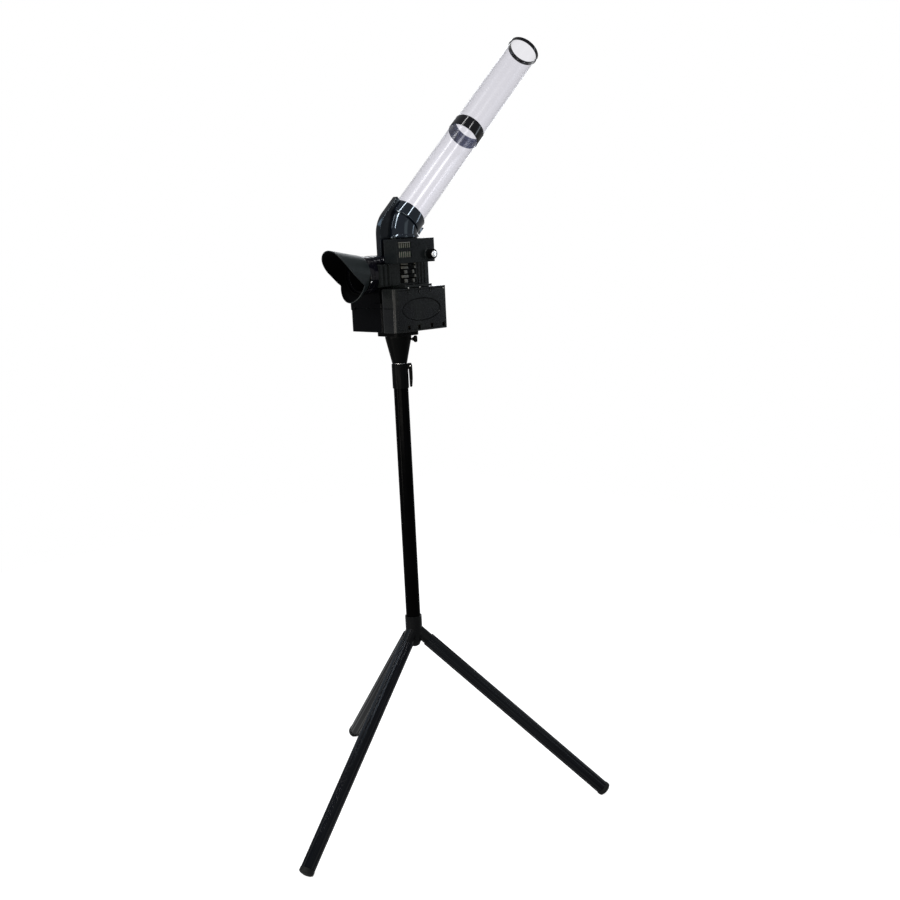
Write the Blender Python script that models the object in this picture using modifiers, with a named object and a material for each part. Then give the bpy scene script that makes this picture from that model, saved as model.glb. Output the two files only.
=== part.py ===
# Batting practice shuttle machine on a three-legged stand.
# A clear inclined magazine feeds shuttles through an elbow into a short barrel, where two
# counter-turning rollers throw them out under a hood.
# Metres, +Z up. The launch direction is -Y, the control side is +X, and the feet stand on Z = 0.

import math

import bmesh
import bpy
from mathutils import Vector

# General fit
GAP = 0.0003                # clearance between pieces that touch
WALL = 0.0025               # moulded housing wall
SEAM = 0.00015              # half the gap between two shell halves
SEGMENTS = 32               # sides of a large round piece
SMALL_SEGMENTS = 16         # sides of a small round piece

# The pole stands a little off the middle of the footprint, which is the origin
POLE_X = 0.0503
POLE_Y = -0.0185

# Stand
LEG_SLOPE = math.radians(43.7)
LEG_AZIMUTHS = {
    "front": math.radians(-77.2),
    "right": math.radians(42.8),
    "left": math.radians(162.8),
}
HUB_CENTRE_Z = 0.4459       # height at which the leg axes meet the pole axis
HUB_RADIUS = 0.0205
HUB_TOP_Z = 0.476
HUB_FLOOR_Z = 0.428
PEG_RADIUS = 0.0145
PEG_END = 0.107             # distances along a leg's axis, from the pole axis
LEG_START = 0.047
LEG_END = 0.6220
LEG_FLUTES = 12
LEG_RADIUS = 0.0169
FLUTE_DEPTH = 0.0009
LEG_BORE = PEG_RADIUS + GAP
FOOT_RADIUS = 0.0177        # the cap stands a little proud of the tube
FOOT_END = 0.6326
FOOT_PLUG = 0.0250          # how far the cap's plug goes up the tube
POLE_RADIUS = 0.0175
POLE_BORE = 0.0156
POLE_TOP_Z = 1.0882
MAST_RADIUS = 0.0150
MAST_BORE = 0.0134
MAST_BOTTOM_Z = 0.600
MAST_TOP_Z = 1.1620

# Collar clamp and its flip lever
CLAMP_AZIMUTH = math.radians(49.0)
CLAMP_BOTTOM_Z = 1.0390
CLAMP_TOP_Z = 1.0975
CLAMP_RADIUS = 0.0195
LEVER_PIN_R = 0.0247        # distance of the lever's pin from the pole axis
LEVER_PIN_Z = 1.0915
LEVER_PIN_RADIUS = 0.0015
LEVER_CAM = 0.0046
LEVER_LENGTH = 0.0510
LEVER_HALF_WIDTH = 0.0054
EAR_THICKNESS = 0.0030

# Head socket, its wing screw and the plate that carries the machine
SOCKET_BOTTOM_Z = 1.0985
SOCKET_TOP_Z = 1.1637
SOCKET_RIM_Z = 1.1590
SOCKET_NECK = 0.0178
SOCKET_RIM = 0.0312
WING_Z = 1.1540
WING_SPAN = 0.0160
PLATE_SIZE = 0.0740
PLATE_CORNER = 0.0100
PLATE_BOTTOM_Z = 1.1640
BOX_BOTTOM_Z = 1.1780

# Base box under the barrel
BASE_X = (-0.0770, 0.0357)
BASE_Y = (-0.0765, 0.0700)
BASE_SEAM_Z = 1.2333
BASE_TOP_Z = 1.2455
BASE_LIP = 0.0008
SADDLE_Y = (-0.0745, -0.0504)  # cradle on the lid under the barrel
SADDLE_TOP_Z = 1.2812
CATCH_X = (-0.0720, -0.0600)
BOX_CORNER = 0.0060

# Battery box beside it
BATTERY_X = (0.0360, 0.0850)
BATTERY_Y = (-0.0790, 0.0850)
BATTERY_TOP_Z = 1.2775
BATTERY_DIVIDER_Y = 0.0560
COVER_Y = (-0.0696, 0.0756)
COVER_Z = (1.1830, 1.2724)
COVER_X = (0.0806, 0.0848)
COVER_NOTCHES_Y = (-0.038, -0.007, 0.033, 0.070)
COVER_NOTCH = 0.0080
BATTERY_CORNER = 0.0095
LATCHES_Y = (-0.0351, 0.0, 0.0350)
LATCH_HALF = 0.0035
LATCH_Z = (1.2640, 1.2788)
LATCH_HOLE_Z = (1.2712, 1.2772)
LATCH_X = (0.0853, 0.0864)
OVAL_CENTRE = (0.0030, 1.2275)
OVAL_HALF = (0.0580, 0.0250)
OVAL_DEPTH = 0.0012
CELL_RADIUS = 0.0165
CELL_LENGTH = 0.0600
CELL_NUB = 0.0015

# Mechanism housing and barrel
HOUSING_HALF = 0.0440
HOUSING_Y = (-0.0500, 0.0670)
HOUSING_BOTTOM_Z = 1.2458
HOUSING_TOP_Z = 1.3337
BARREL_Z = 1.3100
BARREL_RADIUS = 0.0395
BARREL_BORE = 0.0360
BARREL_FRONT_Y = -0.1080
THROAT_Y = 0.0245           # axis of the drop from the elbow
THROAT_TOP_Z = 1.3907
BEND_RADIUS = 0.0460
CHEEK_Y = (-0.0842, -0.0490)
CHEEK_Z = (1.2820, 1.3333)
CHEEK_FACE = 0.0425
RIBS_Y = (-0.0800, -0.0670, -0.0540)
RIB_FACE = 0.0455
RIB_WIDTH = 0.0052
RING_Y = (-0.0980, -0.0845)
RING_RADIUS = 0.0437
RING_NOTCHES = 8
APRON_Y = (-0.0450, 0.0380)    # ledge of the right half that lies on the battery box
APRON_X = 0.0846
APRON_HEIGHT = 0.0055
LOUVRE_COUNT = 5
LOUVRE_PITCH = 0.0095
LOUVRE_Z = 1.2895
LOUVRE_Y = (-0.0220, 0.0270)
UPRIGHTS_Y = (0.0350, 0.0450, 0.0550)

# Hood in front of the barrel
HOOD_REAR_Y = -0.0983
HOOD_WALL = 0.0022
HOOD_REAR_RADIUS = 0.0437
HOOD_MOUTH_RADIUS = 0.0520
HOOD_LIP_RADIUS = 0.0455
HOOD_LENGTH = 0.1080
HOOD_TOP_RISE = math.tan(math.radians(10.5))
HOOD_BOTTOM_FALL = math.tan(math.radians(22.0))
MOUTH_VERTEX = (-0.1300, 1.2830)
MOUTH_UPPER_SLOPE = 0.73    # how far the visor runs forward for each step up
MOUTH_LOWER_SLOPE = 0.29    # the same for the lip, each step down

# Rollers and their motors
ROLLER_X = 0.0235
ROLLER_Y = -0.0240
ROLLER_RADIUS = 0.0117
ROLLER_HALF = 0.0110
TYRE_BORE = 0.0080
MOTOR_RADIUS = 0.0094
MOTOR_Z = (1.2488, 1.2722)
SHAFT_RADIUS = 0.0015

# Feed wheel, its gear train and the control box
FEED_X = 0.0527
FEED_Z = 1.3620
FEED_RADIUS = 0.0213
FEED_BLADES = 4
FEED_WHEEL_Y = (0.0205, 0.0285)
FEED_GEAR_Y = (-0.0060, -0.0020)
GEAR_MODULE = 0.0006
GEAR_TEETH = 30
PINION_TEETH = 10
MESH_ANGLE = math.radians(-50.0)
CONTROL_X = (0.0335, 0.0800)
CONTROL_Y = (-0.0600, 0.0560)
CONTROL_Z = (1.3340, 1.3885)
CONTROL_CORNER = 0.0040
CONTROL_INNER_X = 0.0402    # its inner side, which steps out to clear the throat
CONTROL_STEP_Y = -0.0120
VENT_Y = -0.0500
VENT_PITCH = 0.0062
VENT_ROWS_Z = (1.3545, 1.3745)
KNOB_Y = 0.0400
KNOB_Z = 1.3515
KNOB_RADIUS = 0.0110
KNOB_CAP_RADIUS = 0.0082
KNOB_BOSS = 0.0150

# Elbow and magazine
ELBOW_CORNER_Z = 1.4200     # where the upright axis meets the magazine's axis
MAGAZINE_LEAN = math.radians(46.7)
ELBOW_RADIUS = 0.0403
ELBOW_BORE = 0.0365
ELBOW_BEND = 0.0500
ELBOW_BOTTOM_Z = 1.3910
ELBOW_FOOT_RADIUS = 0.0430
SOCKET_STEP = 0.0065        # distances along the magazine's axis, from the corner
SOCKET_FLOOR = 0.0140
SOCKET_END = 0.0380
SOCKET_RADIUS = 0.0445
SOCKET_BORE = 0.0392
SPINE_HALF = 0.0090
SPINE_FRONT_Y = -0.0452
SPINE_REACH = 0.0550        # how far the spine stands off the magazine's axis
SPINE_BOTTOM_Z = 1.3515
LOWER_TUBE = (0.0143, 0.3185)
UPPER_TUBE = (0.3205, 0.6120)
LOWER_TUBE_RADIUS = 0.0389
UPPER_TUBE_RADIUS = 0.0385
TUBE_WALL = 0.0020
COUPLING = (0.2995, 0.3390)
COUPLING_RADIUS = 0.0406
END_RING = (0.6045, 0.6136)
END_RING_RADIUS = 0.0405

# Rotations that turn a piece's own +Z
ROLL = math.radians(4.0)    # turns a joined round piece so that its facets don't line up
TO_FRONT = (math.pi / 2, 0.0, 0.0)
TO_SIDE = (0.0, math.pi / 2, 0.0)
TO_MAGAZINE = (-MAGAZINE_LEAN, 0.0, 0.0)
SIDE_OUTLINE = (math.pi / 2, 0.0, math.pi / 2)  # a flat outline's x and y become Y and Z


# Scene

for old in list(bpy.data.objects):
    bpy.data.objects.remove(old)

parts = bpy.data.collections.new("shuttle_machine")
cutters = bpy.data.collections.new("cutters")
bpy.context.scene.collection.children.link(parts)
bpy.context.scene.collection.children.link(cutters)


def add_empty(name, location=(0.0, 0.0, 0.0), rotation=(0.0, 0.0, 0.0), parent=None):
    empty = bpy.data.objects.new(name, None)
    empty.empty_display_size = 0.03
    empty.location = location
    empty.rotation_euler = rotation
    empty.parent = parent
    parts.objects.link(empty)
    return empty


origin = add_empty("machine_origin", (POLE_X, POLE_Y, 0.0))


def add_material(name, colour, roughness, metallic=0.0, alpha=1.0):
    material = bpy.data.materials.new(name)
    material.use_nodes = True
    shader = material.node_tree.nodes["Principled BSDF"]
    shader.inputs["Base Color"].default_value = (*colour, 1.0)
    shader.inputs["Roughness"].default_value = roughness
    shader.inputs["Metallic"].default_value = metallic
    shader.inputs["Alpha"].default_value = alpha
    return material


def add_object(name, data, location=(0.0, 0.0, 0.0), rotation=(0.0, 0.0, 0.0), parent=None):
    obj = bpy.data.objects.new(name, data)
    obj.location = location
    obj.rotation_euler = rotation
    obj.parent = parent or origin
    parts.objects.link(obj)
    return obj


def dress(obj, colour, roughness, metallic=0.0, alpha=1.0):
    """Give a finished piece its own material, and round shading with crisp edges."""
    obj.data.materials.clear()
    obj.data.materials.append(add_material(obj.name, colour, roughness, metallic, alpha))
    obj.data.shade_smooth()
    if not obj.modifiers:
        obj.data.set_sharp_from_angle(angle=math.radians(32.0))
    return obj


def as_cutter(obj):
    parts.objects.unlink(obj)
    cutters.objects.link(obj)
    obj.hide_render = True
    obj.display_type = "WIRE"
    return obj


def combine(target, other, operation):
    if other.name in parts.objects:
        as_cutter(other)
    modifier = target.modifiers.new(f"{operation.lower()}_{other.name}", "BOOLEAN")
    modifier.operation = operation
    modifier.solver = "EXACT"
    modifier.object = other


def cut(target, *others):
    for other in others:
        combine(target, other, "DIFFERENCE")


def join(target, *others):
    for other in others:
        combine(target, other, "UNION")


# Shapes

def mesh_of(name, build):
    mesh = bpy.data.meshes.new(name)
    shape = bmesh.new()
    build(shape)
    shape.to_mesh(mesh)
    shape.free()
    return mesh


def block(name, low, high, parent=None):
    """A box between two corners, with its origin at its centre."""
    low, high = Vector(low), Vector(high)
    size = high - low

    def build(shape):
        bmesh.ops.create_cube(shape, size=1.0)
        bmesh.ops.scale(shape, vec=size, verts=shape.verts)

    return add_object(name, mesh_of(name, build), (low + high) / 2, parent=parent)


def blocks(name, corners, parent=None):
    """Several boxes in one object, for a row of like cuts."""
    def build(shape):
        for low, high in corners:
            low, high = Vector(low), Vector(high)
            made = bmesh.ops.create_cube(shape, size=1.0)
            bmesh.ops.scale(shape, vec=high - low, verts=made["verts"])
            bmesh.ops.translate(shape, vec=(low + high) / 2, verts=made["verts"])

    return add_object(name, mesh_of(name, build), parent=parent)


def rod(name, radius, length, location=(0.0, 0.0, 0.0), rotation=(0.0, 0.0, 0.0), parent=None,
        segments=SMALL_SEGMENTS):
    """A cylinder that starts at its location and runs along its own +Z."""
    def build(shape):
        bmesh.ops.create_cone(shape, cap_ends=True, segments=segments, radius1=radius, radius2=radius,
                              depth=length)
        bmesh.ops.translate(shape, vec=(0.0, 0.0, length / 2), verts=shape.verts)

    return add_object(name, mesh_of(name, build), location, rotation, parent)


def turned(name, profile, location=(0.0, 0.0, 0.0), rotation=(0.0, 0.0, 0.0), parent=None,
           segments=SEGMENTS):
    """A lathe shape from (radius, height) points that run down the outer side. A profile that
    touches the axis at both ends is solid, and any other closes into a ring."""
    mesh = bpy.data.meshes.new(name)
    count = len(profile)
    edges = [(i, i + 1) for i in range(count - 1)]
    solid = profile[0][0] == 0.0 and profile[-1][0] == 0.0
    if not solid:
        edges.append((count - 1, 0))
    mesh.from_pydata([(radius, 0.0, height) for radius, height in profile], edges, [])
    obj = add_object(name, mesh, location, rotation, parent)
    screw = obj.modifiers.new("turn", "SCREW")
    screw.angle = math.tau
    screw.steps = segments
    screw.render_steps = segments
    screw.use_merge_vertices = True
    screw.merge_threshold = 0.00001
    screw.use_normal_calculate = False
    return obj


def ring(name, outer, inner, low, high, location=(0.0, 0.0, 0.0), rotation=(0.0, 0.0, 0.0),
         parent=None, segments=SEGMENTS):
    profile = [(outer, high), (outer, low), (inner, low), (inner, high)]
    return turned(name, profile, location, rotation, parent, segments)


def to_mesh(curve_object):
    """Turn a curve into a closed mesh piece with the same name and place."""
    graph = bpy.context.evaluated_depsgraph_get()
    mesh = bpy.data.meshes.new_from_object(curve_object.evaluated_get(graph))
    shape = bmesh.new()
    shape.from_mesh(mesh)
    bmesh.ops.remove_doubles(shape, verts=shape.verts, dist=0.000001)
    bmesh.ops.recalc_face_normals(shape, faces=shape.faces)
    shape.to_mesh(mesh)
    shape.free()
    name = curve_object.name
    location, rotation = curve_object.location.copy(), curve_object.rotation_euler.copy()
    parent = curve_object.parent
    bpy.data.objects.remove(curve_object)
    return add_object(name, mesh, location, rotation, parent)


def plate(name, outlines, half_thickness, location=(0.0, 0.0, 0.0), rotation=(0.0, 0.0, 0.0),
          parent=None):
    """A flat outline, with any holes as further outlines, given a thickness both ways."""
    curve = bpy.data.curves.new(name, "CURVE")
    curve.dimensions = "2D"
    curve.fill_mode = "BOTH"
    curve.extrude = half_thickness
    for outline in outlines:
        spline = curve.splines.new("POLY")
        spline.points.add(len(outline) - 1)
        for point, (x, y) in zip(spline.points, outline):
            point.co = (x, y, 0.0, 1.0)
        spline.use_cyclic_u = True
    return to_mesh(add_object(name, curve, location, rotation, parent))


def pipe(name, path, radius, resolution=12, parent=None):
    """A round bar along a path."""
    curve = bpy.data.curves.new(name, "CURVE")
    curve.dimensions = "3D"
    curve.bevel_depth = radius
    curve.bevel_resolution = resolution
    curve.use_fill_caps = True
    spline = curve.splines.new("POLY")
    spline.points.add(len(path) - 1)
    for point, place in zip(spline.points, path):
        point.co = (*place, 1.0)
    return to_mesh(add_object(name, curve, parent=parent))


def arc(centre, radius, start, end, steps):
    """Points of an arc between two angles in degrees, both ends included."""
    angles = [math.radians(start + (end - start) * i / steps) for i in range(steps + 1)]
    return [(centre[0] + radius * math.cos(a), centre[1] + radius * math.sin(a)) for a in angles]


def rounded_rectangle(low, high, radius, steps=3):
    (x0, y0), (x1, y1) = low, high
    return (arc((x1 - radius, y1 - radius), radius, 0, 90, steps)
            + arc((x0 + radius, y1 - radius), radius, 90, 180, steps)
            + arc((x0 + radius, y0 + radius), radius, 180, 270, steps)
            + arc((x1 - radius, y0 + radius), radius, 270, 360, steps))


def rounded_box(name, x_range, y_range, z_range, radius):
    """A box whose upright edges are rounded."""
    outline = rounded_rectangle((x_range[0], y_range[0]), (x_range[1], y_range[1]), radius)
    middle = (z_range[0] + z_range[1]) / 2
    return plate(name, [outline], (z_range[1] - z_range[0]) / 2, (0.0, 0.0, middle))


def inset(span, amount=WALL):
    return (span[0] + amount, span[1] - amount)


# Stand

def fluted_outline(outer, depth, flutes):
    """A round outline whose radius dips between evenly spaced ridges."""
    count = flutes * 3
    radii = [outer, outer - depth, outer]
    return [(radii[i % 3] * math.cos(math.tau * i / count), radii[i % 3] * math.sin(math.tau * i / count))
            for i in range(count)]


def make_hub():
    hub = turned("tripod_hub", [(0.0, HUB_TOP_Z), (HUB_RADIUS, HUB_TOP_Z), (HUB_RADIUS, 0.432),
                                (0.0170, 0.412), (0.0125, 0.401), (0.0060, 0.397), (0.0, 0.396)])
    for name, azimuth in LEG_AZIMUTHS.items():
        peg = rod(f"peg_{name}", PEG_RADIUS, PEG_END - 0.010, rotation=(0.0, math.pi / 2 + LEG_SLOPE,
                                                                        azimuth),
                  segments=SMALL_SEGMENTS)
        along = Vector((math.cos(azimuth) * math.cos(LEG_SLOPE), math.sin(azimuth) * math.cos(LEG_SLOPE),
                        -math.sin(LEG_SLOPE)))
        peg.location = Vector((0.0, 0.0, HUB_CENTRE_Z)) + along * 0.010
        join(hub, peg)
    cut(hub, rod("hub_bore", POLE_RADIUS + GAP, 0.060, (0.0, 0.0, HUB_FLOOR_Z), segments=SEGMENTS))
    return dress(hub, (0.012, 0.012, 0.013), 0.35)


def make_leg(name, azimuth):
    """A fluted tube that plugs onto its peg, with a capped foot cut flat where it stands."""
    turn = (0.0, math.pi / 2 + LEG_SLOPE, azimuth)
    frame = add_empty(f"leg_{name}_axis", (0.0, 0.0, HUB_CENTRE_Z), turn, origin)
    bore = [(LEG_BORE * math.cos(math.tau * i / 24), LEG_BORE * math.sin(math.tau * i / 24))
            for i in range(24)]
    tube = plate(f"leg_{name}_tube", [fluted_outline(LEG_RADIUS, FLUTE_DEPTH, LEG_FLUTES), bore],
                 (LEG_END - LEG_START) / 2, (0.0, 0.0, (LEG_START + LEG_END) / 2), parent=frame)
    dress(tube, (0.010, 0.010, 0.011), 0.22)
    plug = PEG_RADIUS - 0.0002
    head = LEG_END + GAP
    foot = turned(f"leg_{name}_foot", [
        (0.0, LEG_END - FOOT_PLUG), (plug - 0.0010, LEG_END - FOOT_PLUG),
        (plug, LEG_END - FOOT_PLUG + 0.0015),
        (plug, head), (FOOT_RADIUS, head), (FOOT_RADIUS, FOOT_END - 0.0014),
        (FOOT_RADIUS - 0.0008, FOOT_END - 0.0004),
        (FOOT_RADIUS * 0.72, FOOT_END + 0.0022), (FOOT_RADIUS * 0.38, FOOT_END + 0.0036),
        (0.0, FOOT_END + 0.0042)], parent=frame, segments=24)
    floor = block(f"floor_cut_{name}", (-0.6, -0.6, -0.1), (0.6, 0.6, 0.0))
    cut(foot, floor)
    dress(foot, (0.014, 0.014, 0.014), 0.55)


def make_stand():
    make_hub()
    for name, azimuth in LEG_AZIMUTHS.items():
        make_leg(name, azimuth)
    pole = ring("outer_pole", POLE_RADIUS, POLE_BORE, HUB_FLOOR_Z + GAP, POLE_TOP_Z)
    dress(pole, (0.008, 0.008, 0.009), 0.25)
    mast = ring("inner_pole", MAST_RADIUS, MAST_BORE, MAST_BOTTOM_Z, MAST_TOP_Z)
    dress(mast, (0.45, 0.45, 0.46), 0.25, 0.9)


def make_clamp():
    """The collar that grips the mast, with a cam lever between two ears."""
    frame = add_empty("clamp_axis", rotation=(0.0, 0.0, CLAMP_AZIMUTH), parent=origin)
    shoulder = POLE_TOP_Z + GAP
    collar = turned("collar_clamp", [
        (MAST_RADIUS + 0.0004, CLAMP_TOP_Z), (CLAMP_RADIUS - 0.0010, CLAMP_TOP_Z),
        (CLAMP_RADIUS, CLAMP_TOP_Z - 0.0010), (CLAMP_RADIUS, CLAMP_BOTTOM_Z),
        (POLE_RADIUS + GAP, CLAMP_BOTTOM_Z), (POLE_RADIUS + GAP, shoulder),
        (MAST_RADIUS + 0.0004, shoulder)], parent=frame)
    inner_face = LEVER_HALF_WIDTH + GAP
    pin_point = (LEVER_PIN_R, 0.0, LEVER_PIN_Z)
    for side in (-1, 1):
        near, far = sorted((side * inner_face, side * (inner_face + EAR_THICKNESS)))
        ear = block(f"ear_{'left' if side > 0 else 'right'}", (0.0174, near, LEVER_PIN_Z - 0.0075),
                    (LEVER_PIN_R + 0.0032, far, CLAMP_TOP_Z - 0.0006), frame)
        join(collar, ear)
    half_pin = inner_face + EAR_THICKNESS
    cut(collar, rod("ear_bore", LEVER_PIN_RADIUS + GAP, 0.030, (LEVER_PIN_R, 0.015, LEVER_PIN_Z), TO_FRONT,
                    frame))
    cut(collar, block("collar_slit", (0.010, -0.0008, CLAMP_BOTTOM_Z - 0.01),
                      (0.030, 0.0008, CLAMP_TOP_Z - 0.004),
                      frame))
    dress(collar, (0.010, 0.010, 0.011), 0.42)

    pin = rod("lever_pin", LEVER_PIN_RADIUS, 2 * half_pin, (LEVER_PIN_R, half_pin, LEVER_PIN_Z), TO_FRONT,
              frame)
    dress(pin, (0.5, 0.5, 0.5), 0.3, 1.0)

    outline = (arc((0.0, 0.0), LEVER_CAM, 0, 180, 8)
               + [(-0.0040, -0.0100), (-0.0036, -0.0300)]
               + arc((-0.0002, -LEVER_LENGTH + 0.0030), 0.0030, 180, 360, 6)
               + [(0.0046, -0.0300), (0.0048, -0.0140)])
    bore = arc((0.0, 0.0), LEVER_PIN_RADIUS + GAP, 0, 337.5, 15)
    lever = plate("clamp_lever", [outline, bore], LEVER_HALF_WIDTH, pin_point, TO_FRONT, frame)
    dress(lever, (0.012, 0.012, 0.012), 0.38)


def make_socket():
    """The cone that slips on the mast, its wing screw and the square plate above it."""
    frame = add_empty("wing_axis", (0.0, 0.0, WING_Z), (0.0, 0.0, CLAMP_AZIMUTH), origin)
    bore = MAST_RADIUS + 0.0004
    cone = turned("head_socket", [(bore, SOCKET_TOP_Z), (SOCKET_RIM, SOCKET_TOP_Z),
                                  (SOCKET_RIM, SOCKET_RIM_Z),
                                  (SOCKET_NECK, SOCKET_BOTTOM_Z),
                                  (bore, SOCKET_BOTTOM_Z)])
    cut(cone, rod("wing_bore", 0.0028, 0.040, (0.005, 0.0, 0.0), TO_SIDE, frame))
    dress(cone, (0.013, 0.013, 0.013), 0.45)

    wing = turned("wing_screw", [(0.0, 0.0385), (0.0045, 0.0375), (0.0045, 0.0330), (0.0025, 0.0328),
                                 (0.0025, 0.0158), (0.0, 0.0158)], rotation=TO_SIDE, parent=frame,
                  segments=SMALL_SEGMENTS)
    paddle = plate("wing_paddle", [rounded_rectangle((-WING_SPAN / 2, -0.0045), (WING_SPAN / 2, 0.0045),
                                                     0.0035)],
                   0.0017, (0.0405, 0.0, 0.0), (math.pi / 2, math.pi / 2, 0.0), frame)
    join(wing, paddle)
    dress(wing, (0.10, 0.10, 0.10), 0.35)

    half = PLATE_SIZE / 2
    base = rounded_box("base_plate", (-half, half), (-half, half), (PLATE_BOTTOM_Z, BOX_BOTTOM_Z - GAP),
                       PLATE_CORNER)
    dress(base, (0.012, 0.012, 0.012), 0.40)


# Base and battery boxes

def make_base_box():
    tray = rounded_box("base_case", BASE_X, BASE_Y, (BOX_BOTTOM_Z, BASE_SEAM_Z), BOX_CORNER)
    hollow = rounded_box("base_case_hollow", inset(BASE_X), inset(BASE_Y),
                         (BOX_BOTTOM_Z + WALL, BASE_TOP_Z),
                         BOX_CORNER - WALL)
    cut(tray, hollow)
    dress(tray, (0.012, 0.012, 0.013), 0.45)

    lid_x = (BASE_X[0] - BASE_LIP, BASE_X[1])
    lid_y = (BASE_Y[0] - BASE_LIP, BASE_Y[1] + BASE_LIP)
    lid = rounded_box("base_lid", lid_x, lid_y, (BASE_SEAM_Z + GAP, BASE_TOP_Z), BOX_CORNER)
    under = rounded_box("base_lid_hollow", inset(BASE_X), inset(BASE_Y),
                        (BASE_SEAM_Z - 0.01, BASE_TOP_Z - WALL),
                        BOX_CORNER - WALL)
    saddle_outline = [(-0.0700, BASE_TOP_Z - 0.0015), (0.0280, BASE_TOP_Z - 0.0015), (0.0280, SADDLE_TOP_Z),
                      (-0.0440, SADDLE_TOP_Z)]
    saddle = plate("saddle", [saddle_outline], (SADDLE_Y[1] - SADDLE_Y[0]) / 2,
                   (0.0, (SADDLE_Y[0] + SADDLE_Y[1]) / 2, 0.0), TO_FRONT)
    catch = block("lid_catch", (CATCH_X[0], BASE_Y[0] - 0.0036, BASE_SEAM_Z - 0.0040),
                  (CATCH_X[1], BASE_Y[0] - 0.0004, BASE_TOP_Z + 0.0010))
    join(lid, saddle, catch)
    cut(lid, under)
    cut(lid, rod("saddle_room", BARREL_RADIUS + GAP, 0.060, (0.0, -0.030, BARREL_Z), TO_FRONT, segments=48))
    dress(lid, (0.012, 0.012, 0.013), 0.42)

    floor = BOX_BOTTOM_Z + WALL + GAP
    board = block("power_board", (-0.060, -0.055, floor), (0.020, 0.050, floor + 0.0016))
    sink = block("heat_sink", (-0.045, -0.030, floor), (-0.015, 0.020, floor + 0.016))
    join(board, sink)
    dress(board, (0.02, 0.10, 0.05), 0.5)


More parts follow.
